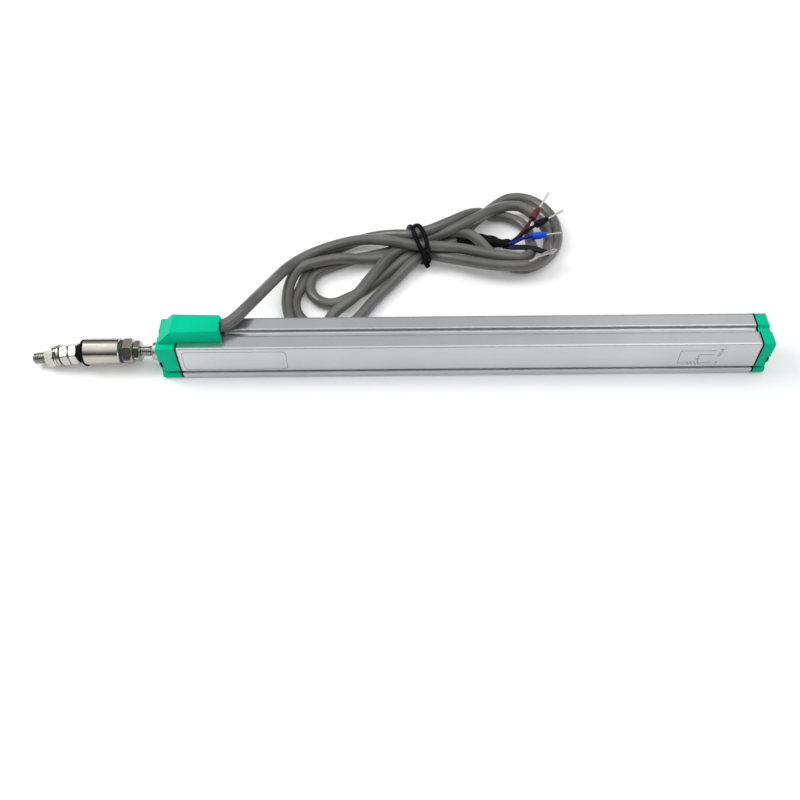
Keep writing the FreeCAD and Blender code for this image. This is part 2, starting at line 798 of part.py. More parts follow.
def coupling():
    """The hexagon end, its ring and the sleeve, locked on the rod's thread by the jam nut."""
    grip = "(dim.thread_radius + dim.bore_clearance)"
    nut = hex_nut("jam_nut", "dim.jam_nut_thickness", "dim.nut_flats", "dim.jam_nut_roll", grip)
    place(nut, JAM_NUT, "0", ROD_AXIS)

    end = hex_nut("coupling_hex", "dim.hex_length", "dim.hex_flats", "dim.hex_roll", grip)
    neck = sketch_on(end, "YZ_Plane")
    circle(neck, "0", "0", f"{SLEEVE_BORE} - dim.bore_clearance")
    circle(neck, "0", "0", grip)
    feature(end, "Pad", neck, "dim.ring_width + dim.hex_spigot_length", reverse=True)
    place(end, HEX, "0", ROD_AXIS)

    ring("coupling_ring", "dim.ring_width", f"{SLEEVE_RADIUS} - dim.ring_step", SLEEVE_BORE, RING)

    sleeve = turned("coupling_sleeve", [
        (f"-{BALL_DEPTH}", MOUTH_RADIUS),
        ("0", MOUTH_RADIUS),
        ("0", SLEEVE_BORE),
        (SLEEVE_BACK, SLEEVE_BORE),
        (SLEEVE_BACK, f"{SLEEVE_RADIUS} - dim.sleeve_edge"),
        (f"{SLEEVE_BACK} - dim.sleeve_edge", SLEEVE_RADIUS),
        (f"dim.sleeve_edge - {BALL_DEPTH}", SLEEVE_RADIUS),
        (f"-{BALL_DEPTH}", f"{SLEEVE_RADIUS} - dim.sleeve_edge"),
    ], BALL)
    doc.recompute()
    lip = sleeve.newObject("PartDesign::SubtractiveSphere", "lip_seat")
    lip.setExpression("Radius", "dim.ball_radius + dim.ball_clearance")


def ball_joint():
    """The seat behind the ball, and the disc spring that presses on it."""
    outer = f"({SLEEVE_BORE} - dim.seat_clearance)"
    seat = turned("ball_seat", [
        ("dim.seat_front", "0"),
        (SEAT_BACK, "0"),
        (SEAT_BACK, outer),
        ("dim.seat_front", outer),
    ], BALL)
    doc.recompute()
    cup = seat.newObject("PartDesign::SubtractiveSphere", "seat_cup")
    cup.setExpression("Radius", "dim.ball_radius + dim.ball_clearance")

    rim = f"({SLEEVE_BORE} - dim.spring_room)"
    far = "(dim.spring_length - dim.seat_clearance)"
    turned("seat_spring", [
        ("dim.seat_clearance", "dim.spring_bore"),
        ("dim.spring_length / 2 - dim.spring_wall / 2", rim),
        ("dim.spring_length / 2 + dim.spring_wall / 2", rim),
        (far, "dim.spring_bore"),
        (f"{far} - dim.spring_wall", "dim.spring_bore"),
        ("dim.spring_length / 2", f"{rim} - dim.spring_wall"),
        ("dim.seat_clearance + dim.spring_wall", "dim.spring_bore"),
    ], f"{BALL} + {SEAT_BACK}")


def ball_stud():
    """The stud: a ball, a slim neck, a hexagon collar and a thread, full size on its free end."""
    body = new_body("ball_stud")
    free_end = f"(-{OUTER_NUT_END} - dim.stud_relief)"
    spin(body, [
        ("0", "0"),
        ("0", "dim.neck_radius"),
        ("-dim.collar_start", "dim.neck_radius"),
        ("-dim.collar_start", "dim.stud_pitch_radius"),
        (free_end, "dim.stud_pitch_radius"),
        (free_end, "dim.stud_radius"),
        (f"-{STUD_END} + dim.thread_chamfer", "dim.stud_radius"),
        (f"-{STUD_END}", "dim.stud_radius - dim.thread_chamfer"),
        (f"-{STUD_END}", "0"),
    ])
    doc.recompute()
    ball = body.newObject("PartDesign::AdditiveSphere", "stud_ball")
    ball.setExpression("Radius", "dim.ball_radius")
    collar = sketch_on(body, "YZ_Plane", f"-{COLLAR_END}")
    hexagon(collar, "dim.nut_flats", "dim.collar_roll")
    feature(body, "Pad", collar, "dim.collar_length")
    bevel_hex(body, "dim.nut_flats", f"(-{COLLAR_END})", "(-dim.collar_start)")
    place_on_stud(body)


def stud_fasteners():
    """Two nuts, a flat washer and a split spring washer on the stud's thread."""
    bore = "(dim.stud_pitch_radius + dim.bore_clearance)"
    for label, station, roll in (
        ("stud_nut_inner", f"(-{INNER_NUT_END})", "dim.inner_nut_roll"),
        ("stud_nut_outer", f"(-{OUTER_NUT_END})", "dim.outer_nut_roll"),
    ):
        place_on_stud(hex_nut(label, "dim.nut_thickness", "dim.nut_flats", roll, bore, station))

    flat = new_body("flat_washer")
    sketch = sketch_on(flat, "YZ_Plane", f"-{WASHER_END}")
    circle(sketch, "0", "0", "dim.washer_radius")
    circle(sketch, "0", "0", "dim.stud_radius + dim.washer_clearance")
    feature(flat, "Pad", sketch, "dim.washer_thickness")
    place_on_stud(flat)

    split = new_body("spring_washer")
    sketch = sketch_on(split, "YZ_Plane", f"-{SPRING_WASHER_END}")
    circle(sketch, "0", "0", "dim.spring_washer_radius")
    circle(sketch, "0", "0", "dim.stud_radius + dim.bore_clearance")
    feature(split, "Pad", sketch, "dim.spring_washer_thickness")
    gap = sketch_on(split, "XZ_Plane")
    lean = "dim.spring_washer_gap"
    outline(gap, [
        (f"-{SPRING_WASHER_END}", "0"),
        (f"-{WASHER_END}", lean),
        (f"-{WASHER_END}", f"{lean} + dim.spring_washer_gap"),
        (f"-{SPRING_WASHER_END}", "dim.spring_washer_gap"),
    ])
    cut(split, gap, "dim.spring_washer_radius")
    place_on_stud(split)


def loft_circle(name, radius):
    item = doc.addObject("Part::Circle", name)
    item.setExpression("Radius", radius)
    return item


def loft_between(name, sections):
    item = doc.addObject("Part::Loft", name)
    item.Sections = sections
    item.Solid = True
    item.Ruled = True
    return item


def face_mouth(item, offset):
    """Stands a section square to the rod's axis, outward of the sleeve's mouth."""
    item.Placement = FreeCAD.Placement(FreeCAD.Vector(), FreeCAD.Rotation(FreeCAD.Vector(0, 1, 0), -90))
    place(item, f"{SLEEVE} - {offset}", "0", ROD_AXIS)


def face_collar(item):
    """Stands a section square to the leaning stud, against its collar."""
    item.Placement = FreeCAD.Placement(FreeCAD.Vector(), FreeCAD.Rotation(FreeCAD.Vector(0, 1, 0), -90))
    item.setExpression("Placement.Rotation.Angle", "-(90 + dim.stud_droop)")
    out = "(dim.collar_start - dim.boot_gap)"
    x = f"{BALL} - {out} * cos(dim.stud_droop)"
    z = f"{ROD_AXIS} - {out} * sin(dim.stud_droop)"
    place(item, x, "0", z)


def dust_boot():
    """A rubber boot that follows the lean of the stud, from the sleeve's mouth to the collar."""
    flange = doc.addObject("Part::Cylinder", "boot_flange")
    flange.setExpression("Radius", f"{SLEEVE_RADIUS} + dim.boot_overhang")
    flange.setExpression("Height", "dim.boot_flange")
    face_mouth(flange, "dim.boot_gap")

    root = loft_circle("boot_root", f"{MOUTH_RADIUS} + dim.boot_wall")
    face_mouth(root, "(dim.boot_gap + dim.boot_flange / 2)")
    neck = "(dim.neck_radius + dim.boot_neck_gap)"
    tip = loft_circle("boot_tip", f"{neck} + dim.boot_neck_wall")
    face_collar(tip)
    skin = loft_between("boot_skin", [root, tip])

    inner_root = loft_circle("boot_inner_root", MOUTH_RADIUS)
    face_mouth(inner_root, "dim.boot_gap")
    inner_tip = loft_circle("boot_inner_tip", neck)
    face_collar(inner_tip)
    hollow = loft_between("boot_hollow", [inner_root, inner_tip])

    whole = doc.addObject("Part::Fuse", "boot_whole")
    whole.Base = flange
    whole.Tool = skin
    boot = node(doc.addObject("Part::Cut", "dust_boot"), "dust_boot")
    boot.Base = whole
    boot.Tool = hollow


def vector(point):
    return FreeCAD.Vector(*point)


def rounded_path(points):
    """Straight runs joined by tangent arcs, each as large as its two runs allow."""
    corners = [vector(point) for point in points]
    edges = []
    start = corners[0]
    radii = []
    for before, corner, after in zip(corners, corners[1:], corners[2:]):
        back = (before - corner).normalize()
        ahead = (after - corner).normalize()
        turn = math.pi - back.getAngle(ahead)
        shorter = min((before - corner).Length, (after - corner).Length)
        trim = ARC_SHARE * shorter
        radius = trim / math.tan(turn / 2)
        radii.append(radius)
        first = corner + back * trim
        last = corner + ahead * trim
        bisector = (back + ahead).normalize()
        centre_distance = math.hypot(radius, trim)
        middle = corner + bisector * (centre_distance - radius)
        edges.append(Part.LineSegment(start, first).toShape())
        edges.append(Part.Arc(first, middle, last).toShape())
        start = last
    edges.append(Part.LineSegment(start, corners[-1]).toShape())
    return Part.Wire(edges), radii


def tube(label, points, radius):
    """A round tube along a route, with its volume compared with section times length."""
    path, radii = rounded_path(points)
    start = vector(points[0])
    heading = vector(points[1]) - start
    section = Part.Wire(Part.makeCircle(radius, start, heading))
    solid = path.makePipeShell([section], True, True)
    expected = math.pi * radius**2 * path.Length
    if abs(solid.Volume - expected) > 0.01 * expected:
        raise ValueError(f"{label}: the tube's volume is {solid.Volume:.1f}, not {expected:.1f}")
    print(label, "length %.1f" % path.Length, "radii", [round(item, 1) for item in radii])
    return solid


def tube_node(label, points, radius):
    item = node(doc.addObject("Part::Feature", label), label)
    item.Shape = tube(label, points, radius)
    return item


def cone_node(label, start, end, first_radius, last_radius):
    """A straight round piece between two points."""
    item = node(doc.addObject("Part::Cone", label), label)
    along = vector(end) - vector(start)
    item.setExpression("Radius1", first_radius)
    item.setExpression("Radius2", last_radius)
    item.Height = along.Length
    turn = FreeCAD.Rotation(FreeCAD.Vector(0, 0, 1), along)
    item.Placement = FreeCAD.Placement(vector(start), turn)
    return item


def inner_conductors():
    """Three wires from the track's clips, up through the chamber to the cable's end."""
    radius = value("dim.conductor_radius")
    clip = value(f"{FRONT_END} + dim.track_inset - dim.clip_wall")
    rise = value(f"{FRONT_SEAT} - dim.conductor_rise")
    low = value(f"{TRACK} + dim.track_thickness / 2")
    high = value(CABLE_AXIS)
    end = value(f"{FRONT_END} + dim.chamber_reach")
    wires = []
    for index in (-1, 0, 1):
        side = index * value("dim.clip_pitch")
        points = [(clip, side, low), (rise, side, low), (rise, side / 2, high), (end, side / 2, high)]
        wires.append(tube("inner_conductor", points, radius))
    group = node(doc.addObject("Part::Feature", "inner_conductors"), "inner_conductors")
    group.Shape = Part.makeCompound(wires)


def grommet():
    """The rubber ring in the block's end, tapered where the cable leaves it."""
    inner = "(dim.cable_radius + dim.cable_fit / 2)"
    outer = "(dim.cable_radius + dim.grommet_wall - dim.cable_fit / 2)"
    turned("cable_grommet", [
        ("-dim.grommet_depth", inner),
        ("dim.grommet_proud", inner),
        ("dim.grommet_proud", f"{outer} - dim.grommet_proud / 2"),
        ("0", outer),
        ("-dim.grommet_depth", outer),
    ], BLOCK_END, CABLE_AXIS)


def teardrop(apex, centre, radius):
    """The face between two tangents from a point to a circle, closed round the circle."""
    apex = FreeCAD.Vector(*apex, 0)
    centre = FreeCAD.Vector(*centre, 0)
    axis = centre - apex
    spread = math.asin(radius / axis.Length)
    reach = math.sqrt(axis.Length**2 - radius**2)
    up = FreeCAD.Vector(0, 0, 1)
    turns = [FreeCAD.Rotation(up, math.degrees(angle)) for angle in (spread, -spread)]
    sides = [turn.multVec(axis).normalize() for turn in turns]
    first, last = (apex + side * reach for side in sides)
    far = centre + axis.normalize() * radius
    edges = [
        Part.LineSegment(apex, first).toShape(),
        Part.Arc(first, far, last).toShape(),
        Part.LineSegment(last, apex).toShape(),
    ]
    return Part.Face(Part.Wire(edges))


def lobe(shape):
    """One loop of the hank: a teardrop with an open middle."""
    outer = teardrop(TIE, shape["centre"], shape["radius"])
    inner = teardrop(shape["hole_apex"], shape["hole"], shape["hole_radius"])
    return outer.cut(inner).extrude(FreeCAD.Vector(0, 0, value("dim.hank_height")))


def waist_block(length, width, height, base, edge):
    """A block round the tie, in line with the hank, with rounded long edges."""
    block = Part.makeBox(length, width, height, FreeCAD.Vector(-length / 2, -width / 2, base))
    along = [item for item in block.Edges if item.BoundBox.XLength > length / 2]
    block = block.makeFillet(edge, along)
    turn = FreeCAD.Rotation(FreeCAD.Vector(0, 0, 1), TIE_TURN)
    block.Placement = FreeCAD.Placement(FreeCAD.Vector(*TIE, 0), turn)
    return block


def cable():
    """The free stretch, the tied hank and the tie round the hank's waist."""
    tube_node("cable_tube", CABLE_ROUTE, value("dim.cable_radius"))
    wall = value("dim.tie_wall")
    edge = value("dim.waist_edge")
    length, width, height = (value(f"dim.waist_{name}") for name in ("length", "width", "height"))
    waist = waist_block(length, width, height, wall, edge)
    band = waist_block(value("dim.tie_length"), width + 2 * wall, height + 2 * wall, 0, edge + wall)
    loops = lobe(LEFT_LOBE).fuse(lobe(RIGHT_LOBE)).cut(band)
    hank = node(doc.addObject("Part::Feature", "cable_hank"), "cable_hank")
    hank.Shape = loops.fuse(waist).removeSplitter()
    tie = node(doc.addObject("Part::Feature", "cable_tie"), "cable_tie")
    tie.Shape = band.cut(waist)


def leads():
    """The end of the cable: heat shrink, three leads with crimped ends and the sleeved screen."""
    tube_node("heat_shrink", SHRINK_ROUTE, value("dim.shrink_radius"))
    pins = []
    for colour, points in LEAD_ROUTES.items():
        mouth, tip = (vector(point) for point in FERRULES[colour])
        axis = (tip - mouth).normalize()
        bend = mouth - axis * value("dim.lead_end")
        throat = mouth + axis * value("dim.ferrule_length")
        tube_node(f"lead_{colour}", points + [bend, mouth], value("dim.lead_radius"))
        cone_node(f"ferrule_collar_{colour}", mouth, throat, "dim.ferrule_mouth", "dim.ferrule_throat")
        pins.append(Part.makeCylinder(value("dim.ferrule_pin_radius"), (tip - throat).Length, throat, axis))
    group = node(doc.addObject("Part::Feature", "ferrule_pins"), "ferrule_pins")
    group.Shape = Part.makeCompound(pins)
    tube_node("shield_sleeve", SHIELD_ROUTE, value("dim.shield_radius"))
    cone_node("shield_braid", SHIELD_ROUTE[-1], BRAID_END, "dim.braid_radius", "dim.braid_radius / 2")


housing()
gasket("front_gasket", FRONT_SEAT)
gasket("rear_gasket", REAR_END)
front_cap()
rear_cap()
screw_pair("front_cap_screws", f"{FRONT_FACE} + dim.seat_depth", "dim.front_cap_depth", 0)
screw_pair("rear_cap_screws", f"{REAR_FACE} - dim.seat_depth", "dim.rear_cap_depth", 180)
rod_guide()
rod()
carriage()
wiper()
track()
stops()
coupling()
ball_joint()
ball_stud()
stud_fasteners()
dust_boot()
inner_conductors()
grommet()
cable()
leads()
doc.recompute()

for item in doc.Objects:
    if "Invalid" in item.State or "Error" in item.State:
        raise ValueError(f"{item.Label} failed: {item.State}")
for item in NODES:
    if item.Shape.isNull() or not item.Shape.isValid() or not item.Shape.Solids:
        raise ValueError(f"{item.Label} has no valid solid")

os.makedirs("parts", exist_ok=True)
for item in NODES:
    item.Shape.exportStep(f"parts/{item.Label}.step")
print(len(NODES), "sub-parts written")
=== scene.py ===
import json
import math

import bmesh
import bpy
from mathutils import Matrix, Vector


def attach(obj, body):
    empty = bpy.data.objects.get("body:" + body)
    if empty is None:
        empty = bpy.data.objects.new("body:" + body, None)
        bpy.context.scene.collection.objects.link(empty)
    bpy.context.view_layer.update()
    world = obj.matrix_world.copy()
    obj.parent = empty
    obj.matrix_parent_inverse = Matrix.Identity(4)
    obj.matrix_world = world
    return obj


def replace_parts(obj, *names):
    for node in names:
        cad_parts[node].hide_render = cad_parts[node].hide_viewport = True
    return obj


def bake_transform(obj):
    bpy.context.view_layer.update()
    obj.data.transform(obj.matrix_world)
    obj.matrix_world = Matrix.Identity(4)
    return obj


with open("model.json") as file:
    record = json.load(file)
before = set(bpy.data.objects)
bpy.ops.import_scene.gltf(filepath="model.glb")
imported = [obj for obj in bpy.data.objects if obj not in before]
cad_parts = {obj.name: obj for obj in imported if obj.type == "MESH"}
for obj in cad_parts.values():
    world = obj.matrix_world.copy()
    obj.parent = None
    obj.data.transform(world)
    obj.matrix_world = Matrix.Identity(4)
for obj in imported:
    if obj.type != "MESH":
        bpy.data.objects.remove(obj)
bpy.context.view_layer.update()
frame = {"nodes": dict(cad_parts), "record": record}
NODES = frame["nodes"]
SUBPARTS = frame["record"]["subparts"]
MM = 0.001
UP = (0, 0, 1)


def metres(point):
    return Vector(point) * MM


# Materials.

# The colour of the painted shade in grooves and creases.
GROOVE_SHADE = (0.10, 0.10, 0.10)
GROOVE, OPEN_FACE = 0.44, 0.50
EDGE_SAMPLES = 6
# The colour sockets of a Mix node, which share their names with its other sockets.
MIX_A, MIX_B, MIX_RESULT = 6, 7, 2


class Nodes:
    """A material's node tree, built up one node at a time."""

    def __init__(self, name):
        self.material = bpy.data.materials.new(name)
        self.material.use_nodes = True
        self.tree = self.material.node_tree
        self.shader = self.tree.nodes["Principled BSDF"]

    def add(self, kind, **values):
        """A new node with these settings and input values."""
        node = self.tree.nodes.new(kind)
        for key, value in values.items():
            if hasattr(node, key):
                setattr(node, key, value)
            else:
                node.inputs[key].default_value = value
        return node

    def link(self, source, output, target, name):
        self.tree.links.new(source.outputs[output], target.inputs[name])

    def set(self, name, value):
        self.shader.inputs[name].default_value = value

    def noise(self, stretch, scale, detail=4.0, place="Object"):
        """Noise in the part's own frame, or along and round a cord, stretched along its axes."""
        coordinates = self.add("ShaderNodeTexCoord")
        mapping = self.add("ShaderNodeMapping", Scale=stretch)
        self.link(coordinates, place, mapping, "Vector")
        noise = self.add("ShaderNodeTexNoise", Scale=scale, Detail=detail, Roughness=0.55)
        self.link(mapping, "Vector", noise, "Vector")
        return noise

    def ramp(self, source, dark, light, low=0.3, high=0.7, output="Fac"):
        ramp = self.add("ShaderNodeValToRGB")
        ramp.color_ramp.elements[0].position = low
        ramp.color_ramp.elements[0].color = (*dark, 1)
        ramp.color_ramp.elements[1].position = high
        ramp.color_ramp.elements[1].color = (*light, 1)
        self.link(source, output, ramp, "Fac")
        return ramp

    def spread(self, source, low, high, name):
        """Maps a pattern from 0 to 1 to a range on one of the shader's inputs."""
        spread = self.add("ShaderNodeMapRange", **{"To Min": low, "To Max": high})
        self.link(source, "Fac", spread, "Value")
        self.link(spread, "Result", self.shader, name)

    def bump(self, source, depth):
        bump = self.add("ShaderNodeBump", Strength=1.0, Distance=depth)
        self.link(source, "Fac", bump, "Height")
        self.link(bump, "Normal", self.shader, "Normal")
        return bump

    def paint_groove_shade(self, colour):
        """Puts a colour on the shader that darkens in grooves: painted shade in the creases."""
        shape = self.add("ShaderNodeNewGeometry")
        grooves = self.ramp(shape, GROOVE_SHADE, (1, 1, 1), GROOVE, OPEN_FACE, "Pointiness")
        mix = self.add("ShaderNodeMix", data_type="RGBA", blend_type="MULTIPLY", Factor=1.0)
        self.link(colour, "Color", mix, MIX_A)
        self.link(grooves, "Color", mix, MIX_B)
        self.link(mix, MIX_RESULT, self.shader, "Base Color")


FINISH = {}


def surface(
    name, dark, light, *,
    grain, stretch=(1, 1, 1), place="Object", rough=(0.35, 0.5), depth=1e-6, blotch=40.0,
    metal=0.0, shine=0.5, soft_edge=0.0, shaded_grooves=False,
):
    """A slot's finish: its colour drifts over the part, with a finer grain in gloss and relief.

    soft_edge is the radius, in metres, by which the shading rounds the edges.
    """
    nodes = Nodes(name)
    drift = nodes.noise((1, 1, 1), blotch, detail=3.0)
    colour = nodes.ramp(drift, dark, light)
    # Painted shade: the colour darkens in grooves and creases where shade falls.
    if shaded_grooves:
        nodes.paint_groove_shade(colour)
    else:
        nodes.link(colour, "Color", nodes.shader, "Base Color")
    fine = nodes.noise(stretch, grain, place=place)
    nodes.spread(fine, *rough, "Roughness")
    nodes.set("Metallic", metal)
    nodes.set("Specular IOR Level", shine)
    relief = nodes.bump(fine, depth)
    if soft_edge:
        edge = nodes.add("ShaderNodeBevel", samples=EDGE_SAMPLES, Radius=soft_edge)
        nodes.link(edge, "Normal", relief, "Normal")
    FINISH[name] = nodes.material


# Housing, caps and seals.
surface(
    "anodised_aluminium", (0.51, 0.52, 0.525), (0.58, 0.59, 0.595),
    grain=900, stretch=(0.02, 1, 1), rough=(0.20, 0.30), depth=2e-6, blotch=18,
    metal=0.9, soft_edge=0.0012,
)
surface(
    "green_plastic", (0.0, 0.51, 0.275), (0.0, 0.56, 0.302),
    grain=2600, rough=(0.42, 0.55), depth=1.2e-5, blotch=60, shine=0.05, soft_edge=0.0009,
)
surface(
    "black_rubber", (0.004, 0.004, 0.005), (0.008, 0.008, 0.009),
    grain=1800, rough=(0.5, 0.7), depth=1e-5, shine=0.08,
)
surface(
    "black_screw", (0.004, 0.004, 0.005), (0.010, 0.010, 0.011),
    grain=1500, rough=(0.3, 0.5), shine=0.12,
)
surface(
    "etched_mark", (0.16, 0.16, 0.165), (0.24, 0.24, 0.245),
    grain=1800, rough=(0.5, 0.7), metal=0.4,
)

# Rod, coupling and stud.
surface(
    "guide_metal", (0.42, 0.41, 0.38), (0.55, 0.54, 0.50),
    grain=1600, rough=(0.28, 0.42), metal=1.0,
)
# With painted shade darkening its grooves.
surface(
    "ground_steel", (0.52, 0.52, 0.50), (0.64, 0.63, 0.61),
    grain=1500, stretch=(3, 1, 1), rough=(0.16, 0.28), metal=1.0, shaded_grooves=True,
)
surface(
    "nickel", (0.42, 0.40, 0.36), (0.52, 0.49, 0.44),
    grain=1400, stretch=(3, 0.6, 0.6), rough=(0.14, 0.24), depth=2e-6, blotch=90, metal=1.0,
)
# With painted shade darkening its grooves and the gaps between the nuts.
surface(
    "zinc_steel", (0.44, 0.43, 0.40), (0.58, 0.57, 0.53),
    grain=1300, rough=(0.14, 0.26), depth=3e-6, blotch=160, metal=1.0, shaded_grooves=True,
)
surface(
    "dark_ring", (0.012, 0.012, 0.013), (0.025, 0.024, 0.024),
    grain=1500, rough=(0.4, 0.6),
)

# Pieces inside.
surface(
    "spring_steel", (0.30, 0.30, 0.31), (0.42, 0.42, 0.42),
    grain=1500, rough=(0.25, 0.4), metal=1.0,
)
surface(
    "seat_plastic", (0.60, 0.59, 0.55), (0.68, 0.67, 0.63),
    grain=1500, rough=(0.4, 0.55),
)
surface(
    "track_board", (0.014, 0.014, 0.016), (0.03, 0.03, 0.034),
    grain=900, rough=(0.4, 0.6),
)
surface(
    "contact_brass", (0.52, 0.36, 0.13), (0.62, 0.45, 0.18),
    grain=1500, rough=(0.22, 0.36), metal=1.0,
)
surface(
    "slider_plastic", (0.58, 0.56, 0.51), (0.66, 0.64, 0.59),
    grain=1500, rough=(0.4, 0.55),
)
surface(
    "conductor_sheath", (0.28, 0.28, 0.26), (0.38, 0.38, 0.36),
    grain=1500, rough=(0.4, 0.55),
)

# The cable, its tie and its open end.
surface(
    "cable_jacket", (0.098, 0.098, 0.090), (0.146, 0.146, 0.134),
    grain=9, stretch=(4, 2, 1), place="UV", rough=(0.20, 0.36), depth=2e-4, blotch=60, shine=0.55,
)
surface(
    "tie_black", (0.003, 0.003, 0.005), (0.007, 0.007, 0.010),
    grain=1600, rough=(0.32, 0.48), depth=1e-5, shine=0.07,
)
surface(
    "shrink_black", (0.003, 0.003, 0.004), (0.007, 0.007, 0.009),
    grain=500, rough=(0.34, 0.5), depth=6e-5, shine=0.07,
)
surface(
    "brown_sheath", (0.050, 0.010, 0.007), (0.078, 0.017, 0.011),
    grain=1500, rough=(0.35, 0.5), shine=0.25,
)
surface(
    "black_sheath", (0.003, 0.003, 0.004), (0.006, 0.006, 0.007),
    grain=1500, rough=(0.35, 0.5), shine=0.1,
)
surface(
    "blue_sheath", (0.004, 0.008, 0.19), (0.007, 0.014, 0.27),
    grain=1500, rough=(0.35, 0.5), shine=0.2,
)
surface(
    "collar_red", (0.085, 0.014, 0.022), (0.13, 0.026, 0.036),
    grain=1500, rough=(0.32, 0.46), shine=0.25,
)
surface(
    "collar_black", (0.003, 0.003, 0.005), (0.007, 0.007, 0.010),
    grain=1500, rough=(0.3, 0.46), shine=0.12,
)
surface(
    "collar_blue", (0.0, 0.060, 0.56), (0.003, 0.085, 0.68),
    grain=1500, rough=(0.3, 0.44), shine=0.2,
)
surface(
    "tinned_copper", (0.44, 0.43, 0.40), (0.60, 0.58, 0.54),
    grain=2200, rough=(0.2, 0.36), depth=6e-6, metal=1.0,
)
surface(
    "sleeve_dark", (0.010, 0.010, 0.012), (0.020, 0.020, 0.024),
    grain=2400, rough=(0.55, 0.75), depth=3e-5, shine=0.08,
)


# Building pieces. Sizes and places are in millimetres in the part's frame.

SHARP_EDGE = math.radians(38)
CORD_STEPS = 8
CORD_SIDES = 5


def joined(name, shells, slot, body=None):
    """One mesh of closed shells with a slot's finish, riding on a body if one is given."""
    vertices = []
    faces = []
    for points, sides in shells:
        faces += [tuple(i + len(vertices) for i in side) for side in sides]
        vertices += [tuple(point) for point in points]
    mesh = bpy.data.meshes.new(name)
    mesh.from_pydata(vertices, [], faces)
    shape = bmesh.new()
    shape.from_mesh(mesh)
    bmesh.ops.recalc_face_normals(shape, faces=shape.faces)
    shape.to_mesh(mesh)
    shape.free()
    for polygon in mesh.polygons:
        polygon.use_smooth = True
    mesh.set_sharp_from_angle(angle=SHARP_EDGE)
    mesh.materials.append(FINISH[slot])
    piece = bpy.data.objects.new(name, mesh)
    bpy.context.scene.collection.objects.link(piece)
    if body:
        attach(piece, body)
    return piece


def nurbs(name, points, radius=0.0, *, slot=None, closed=False):
    """A round cord on one smooth line with these control points."""
    curve = bpy.data.curves.new(name, "CURVE")
    curve.dimensions = "3D"
    spline = curve.splines.new("NURBS")
    spline.points.add(len(points) - 1)
    for control, point in zip(spline.points, points):
        control.co = (*metres(point), 1)
    spline.order_u = 3
    spline.use_endpoint_u = not closed
    spline.use_cyclic_u = closed
    spline.resolution_u = CORD_STEPS
    curve.bevel_depth = radius * MM
    curve.bevel_resolution = CORD_SIDES
    curve.use_fill_caps = radius > 0
    piece = bpy.data.objects.new(name, curve)
    bpy.context.scene.collection.objects.link(piece)
    if slot:
        curve.materials.append(FINISH[slot])
        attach(piece, "housing")
    return piece


def line_through(points):
    """Points in metres along the smooth line that these control points give."""
    guide = nurbs("guide", points)
    bpy.context.view_layer.update()
    mesh = bpy.data.meshes.new_from_object(guide)
    line = [vertex.co.copy() for vertex in mesh.vertices]
    bpy.data.objects.remove(guide)
    bpy.data.meshes.remove(mesh)
    return line


def rings(sides, count):
    """The faces of a closed tube of rings of points, one ring after the other."""
    faces = [tuple(range(sides))]
    for i in range(count - 1):
        for k in range(sides):
            a, b = i * sides + k, i * sides + (k + 1) % sides
            faces.append((a, b, b + sides, a + sides))
    last = (count - 1) * sides
    return faces + [tuple(range(last, last + sides))]


def swept(line, section, sides=28):
    """A closed tube along a line in metres.

    section gives its half width and half height for a share of the line and an angle.
    """
    spans = [0.0]
    for a, b in zip(line, line[1:]):
        spans.append(spans[-1] + (b - a).length)
    up = Vector(UP)
    vertices = []
    for i, point in enumerate(line):
        along = (line[min(i + 1, len(line) - 1)] - line[max(i - 1, 0)]).normalized()
        side = along.cross(up).normalized()
        up = side.cross(along).normalized()
        for k in range(sides):
            angle = math.tau * k / sides
            wide, high = section(spans[i] / spans[-1], angle)
            across = side * wide * MM * math.cos(angle)
            vertices.append(point + across + up * high * MM * math.sin(angle))
    return vertices, rings(sides, len(line))


def turned(stations, radius, centre, axis, sides):
    """A closed solid about an axis. radius gives its size for a station and an angle."""
    axis = Vector(axis).normalized()
    side = Vector(UP).cross(axis).normalized()
    up = axis.cross(side)
    vertices = []
    for station in stations:
        for k in range(sides):
            angle = math.tau * k / sides
            reach = radius(station, angle)
            across = side * reach * math.cos(angle) + up * reach * math.sin(angle)
            vertices.append(metres(Vector(centre) + axis * station + across))
    return vertices, rings(sides, len(stations))


def collar_ring(section, centre, axis, sides=72):
    """A closed ring about an axis, from its section's outline of (station, radius) points."""
    vertices = []
    for station, reach in section:
        vertices += turned([station], lambda _, angle: reach, centre, axis, sides)[0]
    faces = []
    for i in range(len(section)):
        a, b = i * sides, (i + 1) % len(section) * sides
        for k in range(sides):
            after = (k + 1) % sides
            faces.append((a + k, a + after, b + after, b + k))
    return vertices, faces


def steps_between(start, end, step):
    """Stations from one to the other, about a step apart."""
    count = max(1, round(abs(end - start) / step))
    return [start + (end - start) * i / count for i in range(count + 1)]


def along_profile(profile, station):
    """The size at a station on a profile of (station, size) points."""
    for (a, low), (b, high) in zip(profile, profile[1:]):
        if station <= b:
            return low + (high - low) * max(0.0, station - a) / (b - a)
    return profile[-1][1]


def round_profile(profile):
    """The size for turned() of a round piece with this profile."""
    return lambda station, angle: along_profile(profile, station)


def ripple(depth, waves, twist, share, angle):
    """A wave round a tube that turns along it."""
    return depth * math.sin(waves * angle + twist * share)


# The cable and its hank, strand by strand.

CABLE_RADIUS = 3.1
FREE_STRETCH = [
    (-132.5, 0.0, 26.15),
    (-124.0, 0.8, 26.4),
    (-118.1, 6.4, 27.1),
    (-112.4, 17.2, 25.7),
    (-104.9, 40.5, 17.4),
    (-96.0, 62.2, 11.6),
    (-79.3, 76.8, 9.6),
    (-56.5, 84.2, 10.6),
    (-37.0, 79.4, 12.4),
]
TIE = (-22.0, 82.0)
TIE_HEADING = math.radians(12)


def at_tie(along, across, height):
    """A point in the tie's own directions."""
    cos, sin = math.cos(TIE_HEADING), math.sin(TIE_HEADING)
    x = TIE[0] + along * cos - across * sin
    y = TIE[1] + along * sin + across * cos
    return (x, y, height)


